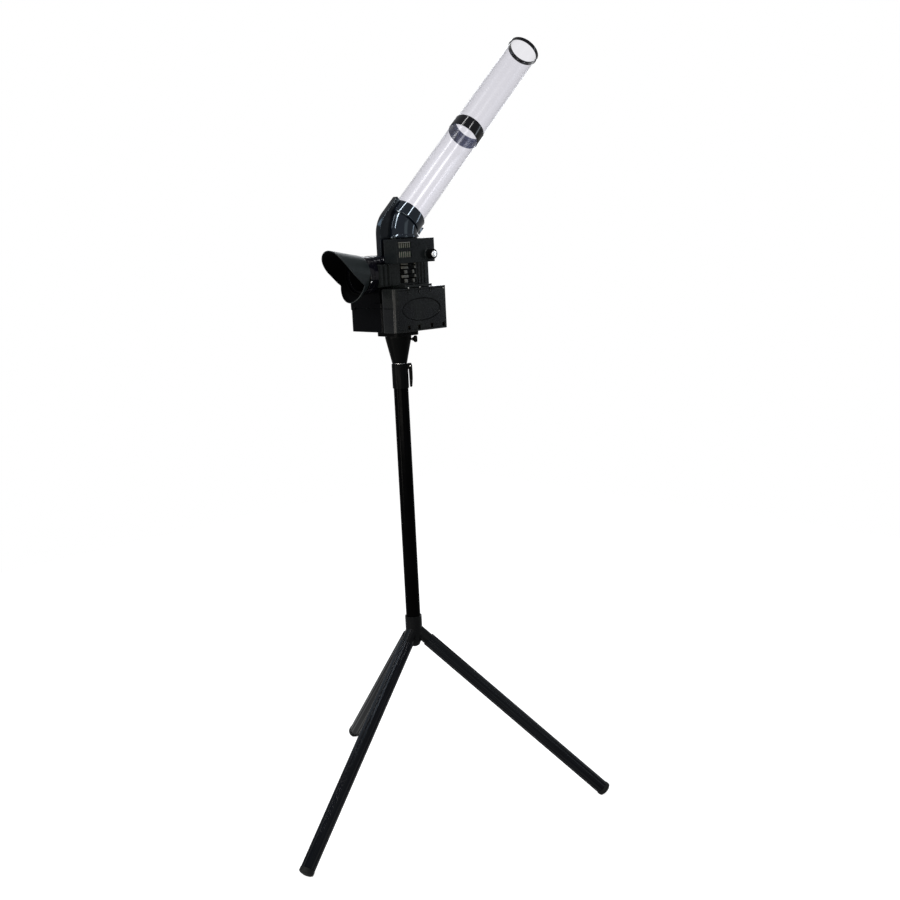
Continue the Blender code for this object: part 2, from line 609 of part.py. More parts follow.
def make_battery_box():
    case = rounded_box("battery_case", BATTERY_X, BATTERY_Y, (BOX_BOTTOM_Z, BATTERY_TOP_Z), BATTERY_CORNER)
    nub_z = (LATCH_HOLE_Z[0] + LATCH_HOLE_Z[1]) / 2
    for number, y in enumerate(LATCHES_Y):
        join(case, block(f"latch_nub_{number}", (BATTERY_X[1] - 0.0006, y - 0.0011, nub_z + 0.0003),
                         (BATTERY_X[1] + 0.0011, y + 0.0011, nub_z + 0.0023)))
    cut(case, block("case_groove", (0.0300, BATTERY_Y[0] - 0.0010, BASE_SEAM_Z - 0.0004),
                    (0.0900, BATTERY_Y[0] + 0.0007, BASE_SEAM_Z + 0.0005)))
    inner_x = (BATTERY_X[0] + WALL, COVER_X[0] - 0.0004)
    inner_z = inset((BOX_BOTTOM_Z, BATTERY_TOP_Z))
    front = (BATTERY_Y[0] + WALL, BATTERY_DIVIDER_Y)
    rear = (BATTERY_DIVIDER_Y + WALL, BATTERY_Y[1] - WALL)
    for name, span in (("front", front), ("rear", rear)):
        cut(case, block(f"battery_{name}_bay", (inner_x[0], span[0], inner_z[0]),
                        (inner_x[1], span[1], inner_z[1])))
    cut(case, block("battery_window", (COVER_X[0] - 0.0005, COVER_Y[0] - 0.0004, COVER_Z[0] - 0.0004),
                    (BATTERY_X[1] + 0.01, COVER_Y[1] + 0.0004, COVER_Z[1] + 0.0004)))
    dress(case, (0.012, 0.012, 0.013), 0.38)

    hinge = (COVER_X[1], 0.0, COVER_Z[0])
    cover_frame = add_empty("battery_cover_axis", hinge, parent=origin)
    depth, height = COVER_X[1] - COVER_X[0], COVER_Z[1] - COVER_Z[0]
    cover = block("battery_cover", (-depth, COVER_Y[0], 0.0), (0.0, COVER_Y[1], height), cover_frame)
    for number, y in enumerate(COVER_NOTCHES_Y):
        cut(cover, block(f"cover_notch_{number}", (-0.010, y - COVER_NOTCH / 2, -0.001),
                         (0.010, y + COVER_NOTCH / 2, COVER_NOTCH + 0.001), cover_frame))
    oval = [(OVAL_HALF[0] * math.cos(math.tau * i / 40), OVAL_HALF[1] * math.sin(math.tau * i / 40))
            for i in range(40)]
    recess = plate("cover_oval", [oval], OVAL_DEPTH, (0.0, OVAL_CENTRE[0], OVAL_CENTRE[1] - COVER_Z[0]),
                   SIDE_OUTLINE, cover_frame)
    cut(cover, recess)
    for number, y in enumerate(LATCHES_Y):
        low, high = LATCH_Z[0] - COVER_Z[0], LATCH_Z[1] - COVER_Z[0]
        loop = [(y - LATCH_HALF, low), (y + LATCH_HALF, low), (y + LATCH_HALF, high),
                (y - LATCH_HALF, high)]
        low, high = LATCH_HOLE_Z[0] - COVER_Z[0], LATCH_HOLE_Z[1] - COVER_Z[0]
        half = LATCH_HALF - 0.0015
        hole = [(y - half, low), (y + half, low), (y + half, high), (y - half, high)]
        middle = (LATCH_X[0] + LATCH_X[1]) / 2 - COVER_X[1]
        latch = plate(f"latch_{number}", [loop, hole], (LATCH_X[1] - LATCH_X[0]) / 2, (middle, 0.0, 0.0),
                      SIDE_OUTLINE, cover_frame)
        pad = block(f"latch_pad_{number}", (-0.0010, y - 0.0028, LATCH_Z[0] - COVER_Z[0] + 0.0008),
                    (middle, y + 0.0028, LATCH_HOLE_Z[0] - COVER_Z[0] - 0.0012), cover_frame)
        join(cover, pad, latch)
    dress(cover, (0.012, 0.012, 0.013), 0.40)

    cell_x = BATTERY_X[0] + WALL + GAP + CELL_RADIUS
    first_z = BOX_BOTTOM_Z + WALL + GAP + CELL_RADIUS
    plate_y = BATTERY_Y[0] + WALL + GAP
    first_y = plate_y + 0.0012 + 0.0030 + GAP
    pitch = CELL_LENGTH + CELL_NUB + GAP
    number = 0
    for row in range(2):
        for column in range(2):
            number += 1
            cell = turned(f"battery_cell_{number}", [
                (0.0, 0.0), (0.0150, 0.0), (CELL_RADIUS, -0.0015), (CELL_RADIUS, -CELL_LENGTH + 0.0015),
                (0.0150, -CELL_LENGTH), (0.0045, -CELL_LENGTH), (0.0045, -CELL_LENGTH - CELL_NUB),
                (0.0, -CELL_LENGTH - CELL_NUB)],
                (cell_x, first_y + column * pitch, first_z + row * (2 * CELL_RADIUS + GAP)), TO_FRONT,
                segments=20)
            dress(cell, (0.35, 0.24, 0.08), 0.35, 0.6)
    last_y = first_y + 2 * pitch
    height = 4 * CELL_RADIUS + 0.002
    for name, low_y, spring_sign in (("front", plate_y, 1), ("rear", BATTERY_DIVIDER_Y - GAP - 0.0012, -1)):
        strip = block(f"battery_contact_{name}", (cell_x - 0.009, low_y, first_z - CELL_RADIUS),
                      (cell_x + 0.009, low_y + 0.0012, first_z - CELL_RADIUS + height))
        reach = 0.0030 if spring_sign > 0 else (low_y - last_y)
        start = low_y + 0.0012 if spring_sign > 0 else low_y
        for row in range(2):
            low = start - 0.0004 if spring_sign > 0 else start - reach
            spring = rod(f"contact_{name}_{row}", 0.0050, reach + 0.0004,
                         (cell_x, low + reach + 0.0004, first_z + row * (2 * CELL_RADIUS + GAP)), TO_FRONT)
            join(strip, spring)
        dress(strip, (0.6, 0.6, 0.6), 0.3, 1.0)


# Mechanism housing and barrel

def barrel_path(top, front):
    """The centre line of the drop from the elbow, the quarter bend and the barrel."""
    centre_y, centre_z = THROAT_Y - BEND_RADIUS, BARREL_Z + BEND_RADIUS
    steps = 6
    path = [(0.0, THROAT_Y, top)]
    for i in range(steps + 1):
        angle = math.pi / 2 * i / steps
        path.append((0.0, centre_y + BEND_RADIUS * math.cos(angle),
                     centre_z - BEND_RADIUS * math.sin(angle)))
    return path + [(0.0, front, BARREL_Z)]


def side_slab(name, outline, near, far):
    """A side-view outline given a thickness between two distances from the middle plane."""
    low, high = sorted((near, far))
    return plate(name, [outline], (high - low) / 2, ((low + high) / 2, 0.0, 0.0), SIDE_OUTLINE)


def make_housing_half(name, side):
    """Half of the mechanism housing, with a ribbed cheek that runs forward beside the barrel.
    The right half steps in over the battery box."""
    low_z, high_z = HOUSING_BOTTOM_Z, HOUSING_TOP_Z
    y0, y1 = HOUSING_Y
    middle = side * SEAM
    shell = side_slab(f"housing_{name}", [(y0, low_z), (y1, low_z), (y1, high_z), (y0, high_z)], middle,
                      side * HOUSING_HALF)
    top = CHEEK_Z[1]
    cheek = [(CHEEK_Y[0], CHEEK_Z[0]), (CHEEK_Y[1], CHEEK_Z[0]), (CHEEK_Y[1], top), (CHEEK_Y[0], top)]
    join(shell, side_slab(f"cheek_{name}", cheek, side * 0.0260, side * CHEEK_FACE))
    for number, y in enumerate(RIBS_Y):
        radius = RIB_WIDTH / 2
        crown = arc((y, top - radius), radius, 0, 180, 6)
        rib = [(y + radius, CHEEK_Z[0] + 0.001)] + crown + [(y - radius, CHEEK_Z[0] + 0.001)]
        join(shell, side_slab(f"rib_{name}_{number}", rib, side * (CHEEK_FACE - 0.002), side * RIB_FACE))
    for number, y in enumerate(UPRIGHTS_Y):
        bar = [(y - 0.0017, 1.2840), (y + 0.0017, 1.2840), (y + 0.0017, top - 0.001),
               (y - 0.0017, top - 0.001)]
        join(shell, side_slab(f"upright_{name}_{number}", bar, side * (HOUSING_HALF - 0.001),
                              side * (HOUSING_HALF + 0.0018)))
    hollow_outline = rounded_rectangle((y0 + WALL, low_z + WALL), (y1 - WALL, high_z - WALL), 0.0015, 2)
    hollow = side_slab(f"housing_{name}_hollow", hollow_outline, -side * 0.002,
                       side * (HOUSING_HALF - WALL))
    if side > 0:
        step_z = BATTERY_TOP_Z + 0.0007
        join(shell, block("apron", (HOUSING_HALF - 0.0010, APRON_Y[0], step_z + 0.0004),
                          (APRON_X, APRON_Y[1], step_z + 0.0004 + APRON_HEIGHT)))
        start = (BASE_X[1], y0 - 0.01, low_z - 0.01)
        keep = (BASE_X[1] - WALL, y0 - 0.01, low_z - 0.01)
        cut(hollow, block("housing_step_wall", keep, (0.061, y1 + 0.01, step_z + WALL)))
        cut(shell, block("housing_step", start, (0.060, y1 + 0.01, step_z)))
    cut(shell, hollow)
    cut(shell, pipe(f"barrel_room_{name}", barrel_path(1.40, -0.120), BARREL_RADIUS + GAP))
    near, far = sorted((side * (HOUSING_HALF - WALL - 0.001), side * (HOUSING_HALF + 0.003)))
    louvres = [((near, LOUVRE_Y[0], LOUVRE_Z + i * LOUVRE_PITCH - 0.0021),
                (far, LOUVRE_Y[1], LOUVRE_Z + i * LOUVRE_PITCH + 0.0021)) for i in range(LOUVRE_COUNT)]
    cut(shell, blocks(f"louvres_{name}", louvres))
    return dress(shell, (0.014, 0.014, 0.014), 0.42)


def make_barrel_half(name, side):
    """One of the two halves of the drop from the elbow, the quarter bend and the barrel."""
    half = pipe(f"barrel_{name}", barrel_path(THROAT_TOP_Z, BARREL_FRONT_Y), BARREL_RADIUS)
    cut(half, pipe(f"barrel_bore_{name}", barrel_path(THROAT_TOP_Z + 0.02, BARREL_FRONT_Y - 0.02),
                   BARREL_BORE))
    reach = ROLLER_RADIUS + 0.0015
    height = ROLLER_HALF + 0.0015
    low, high = sorted((side * 0.0150, side * 0.0430))
    cut(half, block(f"roller_window_{name}", (low, ROLLER_Y - reach, BARREL_Z - height),
                    (high, ROLLER_Y + reach, BARREL_Z + height)))
    cut(half, rod(f"shaft_hole_{name}", 0.0032, 0.060, (side * ROLLER_X, ROLLER_Y, BARREL_Z - 0.060)))
    if side > 0:
        cut(half, block("feed_slot", (0.020, FEED_WHEEL_Y[0] - 0.0010, FEED_Z - 0.0180),
                        (0.045, FEED_WHEEL_Y[1] + 0.0010, FEED_Z + 0.0180)))
    cut(half, block(f"barrel_far_side_{name}", (min(side * SEAM, -side * 0.1), -0.2, 1.2),
                    (max(side * SEAM, -side * 0.1), 0.2, 1.5)))
    return dress(half, (0.010, 0.010, 0.011), 0.30)


def make_ring_collar():
    """The locking ring between the ribs and the hood, with grip notches and one screw."""
    frame = add_empty("ring_axis", (0.0, 0.0, BARREL_Z), TO_FRONT, origin)
    low, high = -RING_Y[1], -RING_Y[0]
    collar = turned("ring_collar", [(BARREL_RADIUS + GAP, high), (RING_RADIUS - 0.001, high),
                                    (RING_RADIUS, high - 0.001),
                                    (RING_RADIUS, low + 0.001), (RING_RADIUS - 0.001, low),
                                    (BARREL_RADIUS + GAP, low)], parent=frame)
    for i in range(RING_NOTCHES):
        angle = math.tau * (i + 0.5) / RING_NOTCHES
        notch = block(f"ring_notch_{i}", (RING_RADIUS - 0.0010, -0.0018, low + 0.0045),
                      (RING_RADIUS + 0.0040, 0.0018, high - 0.0025), frame)
        notch.location = Vector((math.cos(angle), math.sin(angle), 0.0)) * (RING_RADIUS + 0.0015)
        notch.location.z = (low + high) / 2 + 0.001
        notch.rotation_euler = (0.0, 0.0, angle)
        cut(collar, notch)
    dress(collar, (0.008, 0.008, 0.010), 0.12)


def make_hood():
    """The flared shade over the mouth. Its section grows from a circle at the barrel to a tall
    round-ended slot, and a V cut makes a long visor above and a short lip below."""
    stations, around = 7, 40
    rings = []
    for i in range(stations):
        step = HOOD_LENGTH * i / (stations - 1)
        spread = min(1.0, step / 0.060)
        crown = HOOD_REAR_RADIUS + (HOOD_MOUTH_RADIUS - HOOD_REAR_RADIUS) * spread
        chin = HOOD_REAR_RADIUS + (HOOD_LIP_RADIUS - HOOD_REAR_RADIUS) * spread
        top = BARREL_Z + HOOD_REAR_RADIUS + step * HOOD_TOP_RISE
        bottom = BARREL_Z - HOOD_REAR_RADIUS - step * HOOD_BOTTOM_FALL
        points = []
        for j in range(around):
            angle = math.tau * (j + 0.5) / around
            upper = math.sin(angle) > 0
            radius = crown if upper else chin
            middle = top - crown if upper else bottom + chin
            points.append((radius * math.cos(angle), HOOD_REAR_Y - step, middle + radius * math.sin(angle)))
        rings.append(points)
    vertices = [point for points in rings for point in points]
    faces = []
    for i in range(stations - 1):
        for j in range(around):
            a, b = i * around + j, i * around + (j + 1) % around
            faces.append((a, b, b + around, a + around))
    mesh = bpy.data.meshes.new("hood")
    mesh.from_pydata(vertices, [], faces)
    hood = add_object("hood", mesh)
    wall = hood.modifiers.new("wall", "SOLIDIFY")
    wall.thickness = HOOD_WALL
    wall.offset = -1.0
    vertex_y, vertex_z = MOUTH_VERTEX
    up, down = 0.130, 0.080
    mouth = [MOUTH_VERTEX, (vertex_y - up * MOUTH_UPPER_SLOPE, vertex_z + up), (-0.300, vertex_z + up),
             (-0.300, vertex_z - down), (vertex_y - down * MOUTH_LOWER_SLOPE, vertex_z - down)]
    neck = ring("hood_neck", HOOD_REAR_RADIUS - 0.0006, BARREL_RADIUS + GAP, -HOOD_REAR_Y,
                -HOOD_REAR_Y + 0.008,
                (0.0, 0.0, BARREL_Z), TO_FRONT)
    join(hood, neck)
    cut(hood, plate("hood_mouth", [mouth], 0.080, rotation=SIDE_OUTLINE))
    return dress(hood, (0.016, 0.019, 0.019), 0.38)


# Rollers and feed

def make_roller(name, side):
    axis = add_empty(f"roller_{name}_axis", (side * ROLLER_X, ROLLER_Y, BARREL_Z), parent=origin)
    motor_low, motor_high = MOTOR_Z
    well = SHAFT_RADIUS + GAP
    motor = turned(f"launch_motor_{name}", [
        (0.0, motor_high - 0.010), (well, motor_high - 0.010), (well, motor_high),
        (MOTOR_RADIUS - 0.001, motor_high),
        (MOTOR_RADIUS, motor_high - 0.001), (MOTOR_RADIUS, motor_low + 0.001),
        (MOTOR_RADIUS - 0.001, motor_low),
        (0.0, motor_low)], (side * ROLLER_X, ROLLER_Y, 0.0), segments=24)
    dress(motor, (0.55, 0.55, 0.56), 0.3, 1.0)
    shaft_end = motor_high - 0.0095 - BARREL_Z
    hub_radius = TYRE_BORE - GAP
    hub = turned(f"roller_hub_{name}", [
        (0.0, ROLLER_HALF), (hub_radius, ROLLER_HALF), (hub_radius, -ROLLER_HALF),
        (SHAFT_RADIUS, -ROLLER_HALF - 0.0008), (SHAFT_RADIUS, shaft_end), (0.0, shaft_end)], parent=axis,
        segments=24)
    dress(hub, (0.6, 0.6, 0.58), 0.45)
    tyre = turned(f"roller_tyre_{name}", [
        (TYRE_BORE, ROLLER_HALF), (ROLLER_RADIUS - 0.001, ROLLER_HALF),
        (ROLLER_RADIUS, ROLLER_HALF - 0.001),
        (ROLLER_RADIUS, -ROLLER_HALF + 0.001), (ROLLER_RADIUS - 0.001, -ROLLER_HALF),
        (TYRE_BORE, -ROLLER_HALF)],
        parent=axis, segments=24)
    dress(tyre, (0.02, 0.02, 0.02), 0.85)


def gear_outline(teeth, bore, phase):
    """A spur gear with straight-sided teeth and a round bore."""
    pitch = GEAR_MODULE * teeth / 2
    tip, root = pitch + 0.85 * GEAR_MODULE, pitch - 1.15 * GEAR_MODULE
    step = math.tau / teeth
    outline = []
    for i in range(teeth):
        centre = phase + i * step
        for radius, share in ((root, -0.30), (tip, -0.11), (tip, 0.11), (root, 0.30)):
            angle = centre + share * step
            outline.append((radius * math.cos(angle), radius * math.sin(angle)))
    hole = [(bore * math.cos(math.tau * i / 12), bore * math.sin(math.tau * i / 12)) for i in range(12)]
    return [outline, hole]


def make_feed():
    """The bladed wheel that lets one shuttle past at a time, and the gears that turn it. The
    axle's own x and y are the machine's X and Z."""
    axis = add_empty("feed_axis", (FEED_X, 0.0, FEED_Z), TO_FRONT, origin)
    axle_radius = 0.0020
    axle_end = 0.0370
    axle = rod("feed_axle", axle_radius, axle_end - FEED_GEAR_Y[0] + 0.001, (0.0, 0.0, -axle_end),
               parent=axis)
    dress(axle, (0.6, 0.6, 0.6), 0.25, 1.0)

    hub_radius, blade_half = 0.0070, 0.0016
    outline = []
    for i in range(FEED_BLADES):
        centre = 45.0 + 360.0 * i / FEED_BLADES
        tip = math.degrees(math.asin(blade_half / FEED_RADIUS))
        root = math.degrees(math.asin(blade_half * 1.6 / hub_radius))
        outline += arc((0.0, 0.0), FEED_RADIUS, centre - tip, centre + tip, 2)
        outline += arc((0.0, 0.0), hub_radius, centre + root, centre + 90.0 - root, 4)
    bore = arc((0.0, 0.0), axle_radius + GAP, 0, 330, 11)
    middle = -(FEED_WHEEL_Y[0] + FEED_WHEEL_Y[1]) / 2
    wheel = plate("feed_wheel", [outline, bore], (FEED_WHEEL_Y[1] - FEED_WHEEL_Y[0]) / 2,
                  (0.0, 0.0, middle),
                  parent=axis)
    dress(wheel, (0.75, 0.75, 0.72), 0.5)

    gear_middle = -(FEED_GEAR_Y[0] + FEED_GEAR_Y[1]) / 2
    gear_half = (FEED_GEAR_Y[1] - FEED_GEAR_Y[0]) / 2
    gear = plate("feed_gear", gear_outline(GEAR_TEETH, axle_radius + GAP, MESH_ANGLE), gear_half,
                 (0.0, 0.0, gear_middle), parent=axis)
    dress(gear, (0.80, 0.80, 0.76), 0.5)

    distance = GEAR_MODULE * (GEAR_TEETH + PINION_TEETH) / 2
    pinion_x = FEED_X + distance * math.cos(MESH_ANGLE)
    pinion_z = FEED_Z + distance * math.sin(MESH_ANGLE)
    pinion_axis = add_empty("pinion_axis", (pinion_x, 0.0, pinion_z), TO_FRONT, origin)
    half_tooth = math.pi / PINION_TEETH
    outline = gear_outline(PINION_TEETH, 0.0010, MESH_ANGLE + math.pi + half_tooth)[0]
    pinion = plate("feed_pinion", [outline], gear_half, (0.0, 0.0, gear_middle), parent=pinion_axis)
    stub = rod("pinion_shaft", 0.0015, 0.0140, (0.0, 0.0, -FEED_GEAR_Y[1] + 0.0004), parent=pinion_axis)
    join(pinion, stub)
    dress(pinion, (0.75, 0.62, 0.25), 0.35, 0.8)

    motor_rear = FEED_GEAR_Y[0] - 0.0020
    motor = turned("feed_motor", [(0.0, 0.030), (0.0090, 0.030), (0.0100, 0.029), (0.0100, 0.001),
                                  (0.0090, 0.0), (0.0018, 0.0), (0.0018, 0.012), (0.0, 0.012)],
                   (pinion_x, motor_rear, pinion_z), TO_FRONT, segments=20)
    saddle = block("motor_saddle", (pinion_x - 0.006, motor_rear - 0.026, CONTROL_Z[0] + WALL + GAP),
                   (pinion_x + 0.006, motor_rear - 0.004, pinion_z - 0.008))
    join(motor, saddle)
    dress(motor, (0.55, 0.55, 0.56), 0.3, 1.0)

    floor = CONTROL_Z[0] + WALL + GAP
    near_x = CONTROL_INNER_X + WALL + 0.0006
    bracket = block("feed_bracket", (near_x, 0.0130, floor), (FEED_X + 0.007, 0.0362, floor + 0.0030))
    for name, y0 in (("front", 0.0130), ("rear", 0.0332)):
        join(bracket, block(f"bracket_ear_{name}", (near_x, y0, floor),
                            (FEED_X + 0.004, y0 + 0.0030, FEED_Z + 0.005)))
    cut(bracket, rod("bracket_bore", axle_radius + GAP, 0.060, (FEED_X, 0.060, FEED_Z), TO_FRONT))
    dress(bracket, (0.45, 0.45, 0.45), 0.35, 1.0)


# Control box

def make_control_box():
    x0, x1 = CONTROL_X
    y0, y1 = CONTROL_Y
    z0, z1 = CONTROL_Z

    def outline(amount):
        """The box seen from above, with the step in its inner side."""
        corner = CONTROL_CORNER - amount
        turn = (x0 + amount + corner, y0 + amount + corner)
        inner, step = CONTROL_INNER_X + amount, CONTROL_STEP_Y - amount
        return (arc(turn, corner, 180, 270, 3) + [(x1 - amount, y0 + amount), (x1 - amount, y1 - amount)]
                + [(inner, y1 - amount), (inner, step), (x0 + amount, step)])

    case = plate("control_case", [outline(0.0)], (z1 - z0) / 2, (0.0, 0.0, (z0 + z1) / 2))
    boss = rod("knob_boss", KNOB_BOSS, 0.0022, (x1 - 0.0004, KNOB_Y, KNOB_Z), TO_SIDE, segments=24)
    join(case, boss)
    cut(case, plate("control_hollow", [outline(WALL)], (z1 - z0) / 2 - WALL, (0.0, 0.0, (z0 + z1) / 2)))
    cut(case, block("feed_window", (0.0300, FEED_WHEEL_Y[0] - 0.0010, FEED_Z - 0.0200),
                    (0.0480, FEED_WHEEL_Y[1] + 0.0010, FEED_Z + 0.0195)))
    slots = [((x1 - 0.004, VENT_Y + i * VENT_PITCH, z - 0.0065),
              (x1 + 0.004, VENT_Y + i * VENT_PITCH + 0.0030,
                                                                z + 0.0065))
             for i in range(6) for z in VENT_ROWS_Z]
    cut(case, blocks("control_vents", slots))
    cut(case, rod("knob_hole", 0.0033, 0.020, (x1 - 0.010, KNOB_Y, KNOB_Z), TO_SIDE))
    dress(case, (0.014, 0.014, 0.014), 0.42)

    board = block("control_board", (0.0725, y0 + WALL + GAP, z0 + WALL + GAP), (0.0741, 0.0100, z1 - 0.005))
    chip = block("control_chip", (0.0738, -0.0180, 1.3500), (0.0768, -0.0080, 1.3660))
    join(board, chip)
    dress(board, (0.02, 0.12, 0.06), 0.5)

    axis = add_empty("knob_axis", (x1, KNOB_Y, KNOB_Z), TO_SIDE, origin)
    sensor = ring("speed_sensor", 0.0080, 0.0033, -0.0105, -WALL - GAP, parent=axis, segments=20)
    dress(sensor, (0.30, 0.30, 0.30), 0.4, 0.8)
    knob_low = 0.0022
    knob = turned("speed_knob", [(0.0, 0.0150), (KNOB_CAP_RADIUS + GAP, 0.0150),
                                 (KNOB_CAP_RADIUS + GAP, 0.0162),
                                 (KNOB_RADIUS - 0.0015, 0.0162), (KNOB_RADIUS, 0.0140),
                                 (KNOB_RADIUS, knob_low),
                                 (0.0030, knob_low), (0.0030, -0.0090), (0.0, -0.0090)], parent=axis,
                                 segments=28)
    dress(knob, (0.010, 0.010, 0.010), 0.30)
    cap = turned("knob_cap", [(0.0, 0.0176), (KNOB_CAP_RADIUS - 0.0012, 0.0174), (KNOB_CAP_RADIUS, 0.0165),
                              (KNOB_CAP_RADIUS, 0.0150 + GAP), (0.0, 0.0150 + GAP)], parent=axis,
                              segments=28)
    dress(cap, (0.80, 0.80, 0.80), 0.25, 0.8)


# Elbow and magazine

def magazine_point(distance, offset):
    """A point in the machine's side plane, by its place along the magazine's axis and its
    offset from that axis towards the front."""
    along = (math.sin(MAGAZINE_LEAN), math.cos(MAGAZINE_LEAN))
    across = (-along[1], along[0])
    return (THROAT_Y + distance * along[0] + offset * across[0],
            ELBOW_CORNER_Z + distance * along[1] + offset * across[1])


def elbow_path(low, far):
    """The centre line: upright, a bend, then along the magazine."""
    tangent = ELBOW_BEND * math.tan(MAGAZINE_LEAN / 2)
    centre_y, centre_z = THROAT_Y + ELBOW_BEND, ELBOW_CORNER_Z - tangent
    steps = 5
    bend = []
    for i in range(steps + 1):
        angle = MAGAZINE_LEAN * i / steps
        bend.append((0.0, centre_y - ELBOW_BEND * math.cos(angle), centre_z + ELBOW_BEND * math.sin(angle)))
    return [(0.0, THROAT_Y, low)] + bend + [(0.0, *magazine_point(far, 0.0))]


def spine_outline(amount):
    """The raised spine along the elbow's outer side, drawn in by an amount. It gives the nose
    of a shuttle room to swing round the bend."""
    front = SPINE_FRONT_Y + amount
    reach = SPINE_REACH - amount
    bottom = SPINE_BOTTOM_Z + amount
    lean = math.degrees(MAGAZINE_LEAN)
    end = magazine_point(SOCKET_END - 0.0008 - amount, reach)
    radius = 0.070
    # the round corner that touches both the upright front and the leaning outer edge
    slope = (math.sin(MAGAZINE_LEAN), math.cos(MAGAZINE_LEAN))
    centre_y = front + radius
    start_y, start_z = magazine_point(0.0, reach - radius)
    centre_z = start_z + (centre_y - start_y) * slope[1] / slope[0]
    corner = arc((centre_y, centre_z), radius, 180.0, 180.0 - lean, 6)
    inner = 0.0302 if amount == 0.0 else 0.0100
    rear = THROAT_Y - BARREL_RADIUS - 0.0048 - amount
    return ([(front, bottom)] + corner + [end, magazine_point(SOCKET_END - 0.0008 - amount, inner)]
            + [magazine_point(0.0100, inner), (THROAT_Y - inner, 1.4080)]
            + [(THROAT_Y - inner, ELBOW_BOTTOM_Z + amount), (rear, ELBOW_BOTTOM_Z + amount),
               (rear, bottom)])


def make_elbow_half(name, side):
    """One of the two clamshell halves, cut from the whole elbow by the middle plane."""
    half = pipe(f"elbow_{name}", elbow_path(ELBOW_BOTTOM_Z, 0.0300), ELBOW_RADIUS)
    foot = rod(f"elbow_foot_{name}", ELBOW_FOOT_RADIUS, 0.0060, (0.0, THROAT_Y, ELBOW_BOTTOM_Z),
               (0.0, 0.0, ROLL),
               segments=SEGMENTS)
    step_y, step_z = magazine_point(SOCKET_STEP, 0.0)
    sleeve = rod(f"elbow_sleeve_{name}", SOCKET_RADIUS, SOCKET_END - SOCKET_STEP, (0.0, step_y, step_z),
                 TO_MAGAZINE,
                 segments=36)
    spine = plate(f"elbow_spine_{name}", [spine_outline(0.0)], SPINE_HALF, rotation=SIDE_OUTLINE)
    web_outline = [magazine_point(0.0080, -0.0420), magazine_point(0.0120, -0.0567),
                   magazine_point(0.0460, -0.0562),
                   magazine_point(0.0430, -0.0500), magazine_point(0.0370, -0.0430)]
    web = plate(f"elbow_web_{name}", [web_outline], 0.0030, rotation=SIDE_OUTLINE)
    join(half, foot, sleeve, spine, web)
    bore = pipe(f"elbow_bore_{name}", elbow_path(ELBOW_BOTTOM_Z - 0.01, SOCKET_FLOOR + 0.010), ELBOW_BORE)
    socket_y, socket_z = magazine_point(SOCKET_FLOOR, 0.0)
    socket = rod(f"elbow_socket_{name}", SOCKET_BORE, 0.060, (0.0, socket_y, socket_z), TO_MAGAZINE,
                 segments=32)
    channel = plate(f"elbow_channel_{name}", [spine_outline(WALL)], SPINE_HALF - WALL,
                    rotation=SIDE_OUTLINE)
    far_side = block(f"elbow_far_side_{name}", (min(side * SEAM, -side * 0.1), -0.2, 1.2),
                     (max(side * SEAM, -side * 0.1), 0.3, 1.7))
    cut(half, bore, socket, channel, far_side)
    return dress(half, (0.006, 0.007, 0.012), 0.12)


def make_magazine():
    corner = add_empty("magazine_axis", (0.0, THROAT_Y, ELBOW_CORNER_Z), TO_MAGAZINE, origin)
    lower = ring("lower_tube", LOWER_TUBE_RADIUS, LOWER_TUBE_RADIUS - TUBE_WALL, *LOWER_TUBE, parent=corner)
    dress(lower, (0.80, 0.79, 0.84), 0.05, alpha=0.25)
    upper = ring("upper_tube", UPPER_TUBE_RADIUS, UPPER_TUBE_RADIUS - TUBE_WALL, *UPPER_TUBE, parent=corner)
    dress(upper, (0.80, 0.79, 0.84), 0.05, alpha=0.25)
    stop_low, stop_high = LOWER_TUBE[1] + GAP, UPPER_TUBE[0] - GAP
    stop_radius = LOWER_TUBE_RADIUS - 0.0016
    coupling = turned("coupling_ring", [
        (UPPER_TUBE_RADIUS + GAP, COUPLING[1]), (COUPLING_RADIUS - 0.0008, COUPLING[1]),
        (COUPLING_RADIUS, COUPLING[1] - 0.0008), (COUPLING_RADIUS, COUPLING[0] + 0.0008),
        (COUPLING_RADIUS - 0.0008, COUPLING[0]), (LOWER_TUBE_RADIUS + GAP, COUPLING[0]),
        (LOWER_TUBE_RADIUS + GAP, stop_low), (stop_radius, stop_low), (stop_radius, stop_high),
        (UPPER_TUBE_RADIUS + GAP, stop_high)], parent=corner)
    dress(coupling, (0.008, 0.009, 0.012), 0.16)
    lip = UPPER_TUBE[1] + GAP
    end = turned("end_ring", [
        (UPPER_TUBE_RADIUS - TUBE_WALL + 0.0002, END_RING[1]), (END_RING_RADIUS, END_RING[1]),
        (END_RING_RADIUS, END_RING[0]), (UPPER_TUBE_RADIUS + GAP, END_RING[0]),
        (UPPER_TUBE_RADIUS + GAP, lip),
        (UPPER_TUBE_RADIUS - TUBE_WALL + 0.0002, lip)], parent=corner)
    dress(end, (0.008, 0.008, 0.009), 0.2)


make_stand()
make_clamp()
make_socket()
make_base_box()
make_battery_box()
make_housing_half("left", -1)
make_housing_half("right", 1)
make_barrel_half("left", -1)
make_barrel_half("right", 1)
make_ring_collar()
make_hood()
make_roller("left", -1)
make_roller("right", 1)
make_feed()
make_control_box()
make_elbow_half("left", -1)
make_elbow_half("right", 1)
make_magazine()
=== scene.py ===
# Batting practice shuttle machine: finished pieces, materials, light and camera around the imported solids.
# Metres, +Z up. Shuttles leave along -Y, and the control side is +X.
import math

import bmesh
import bpy
import numpy as np
from mathutils import Matrix


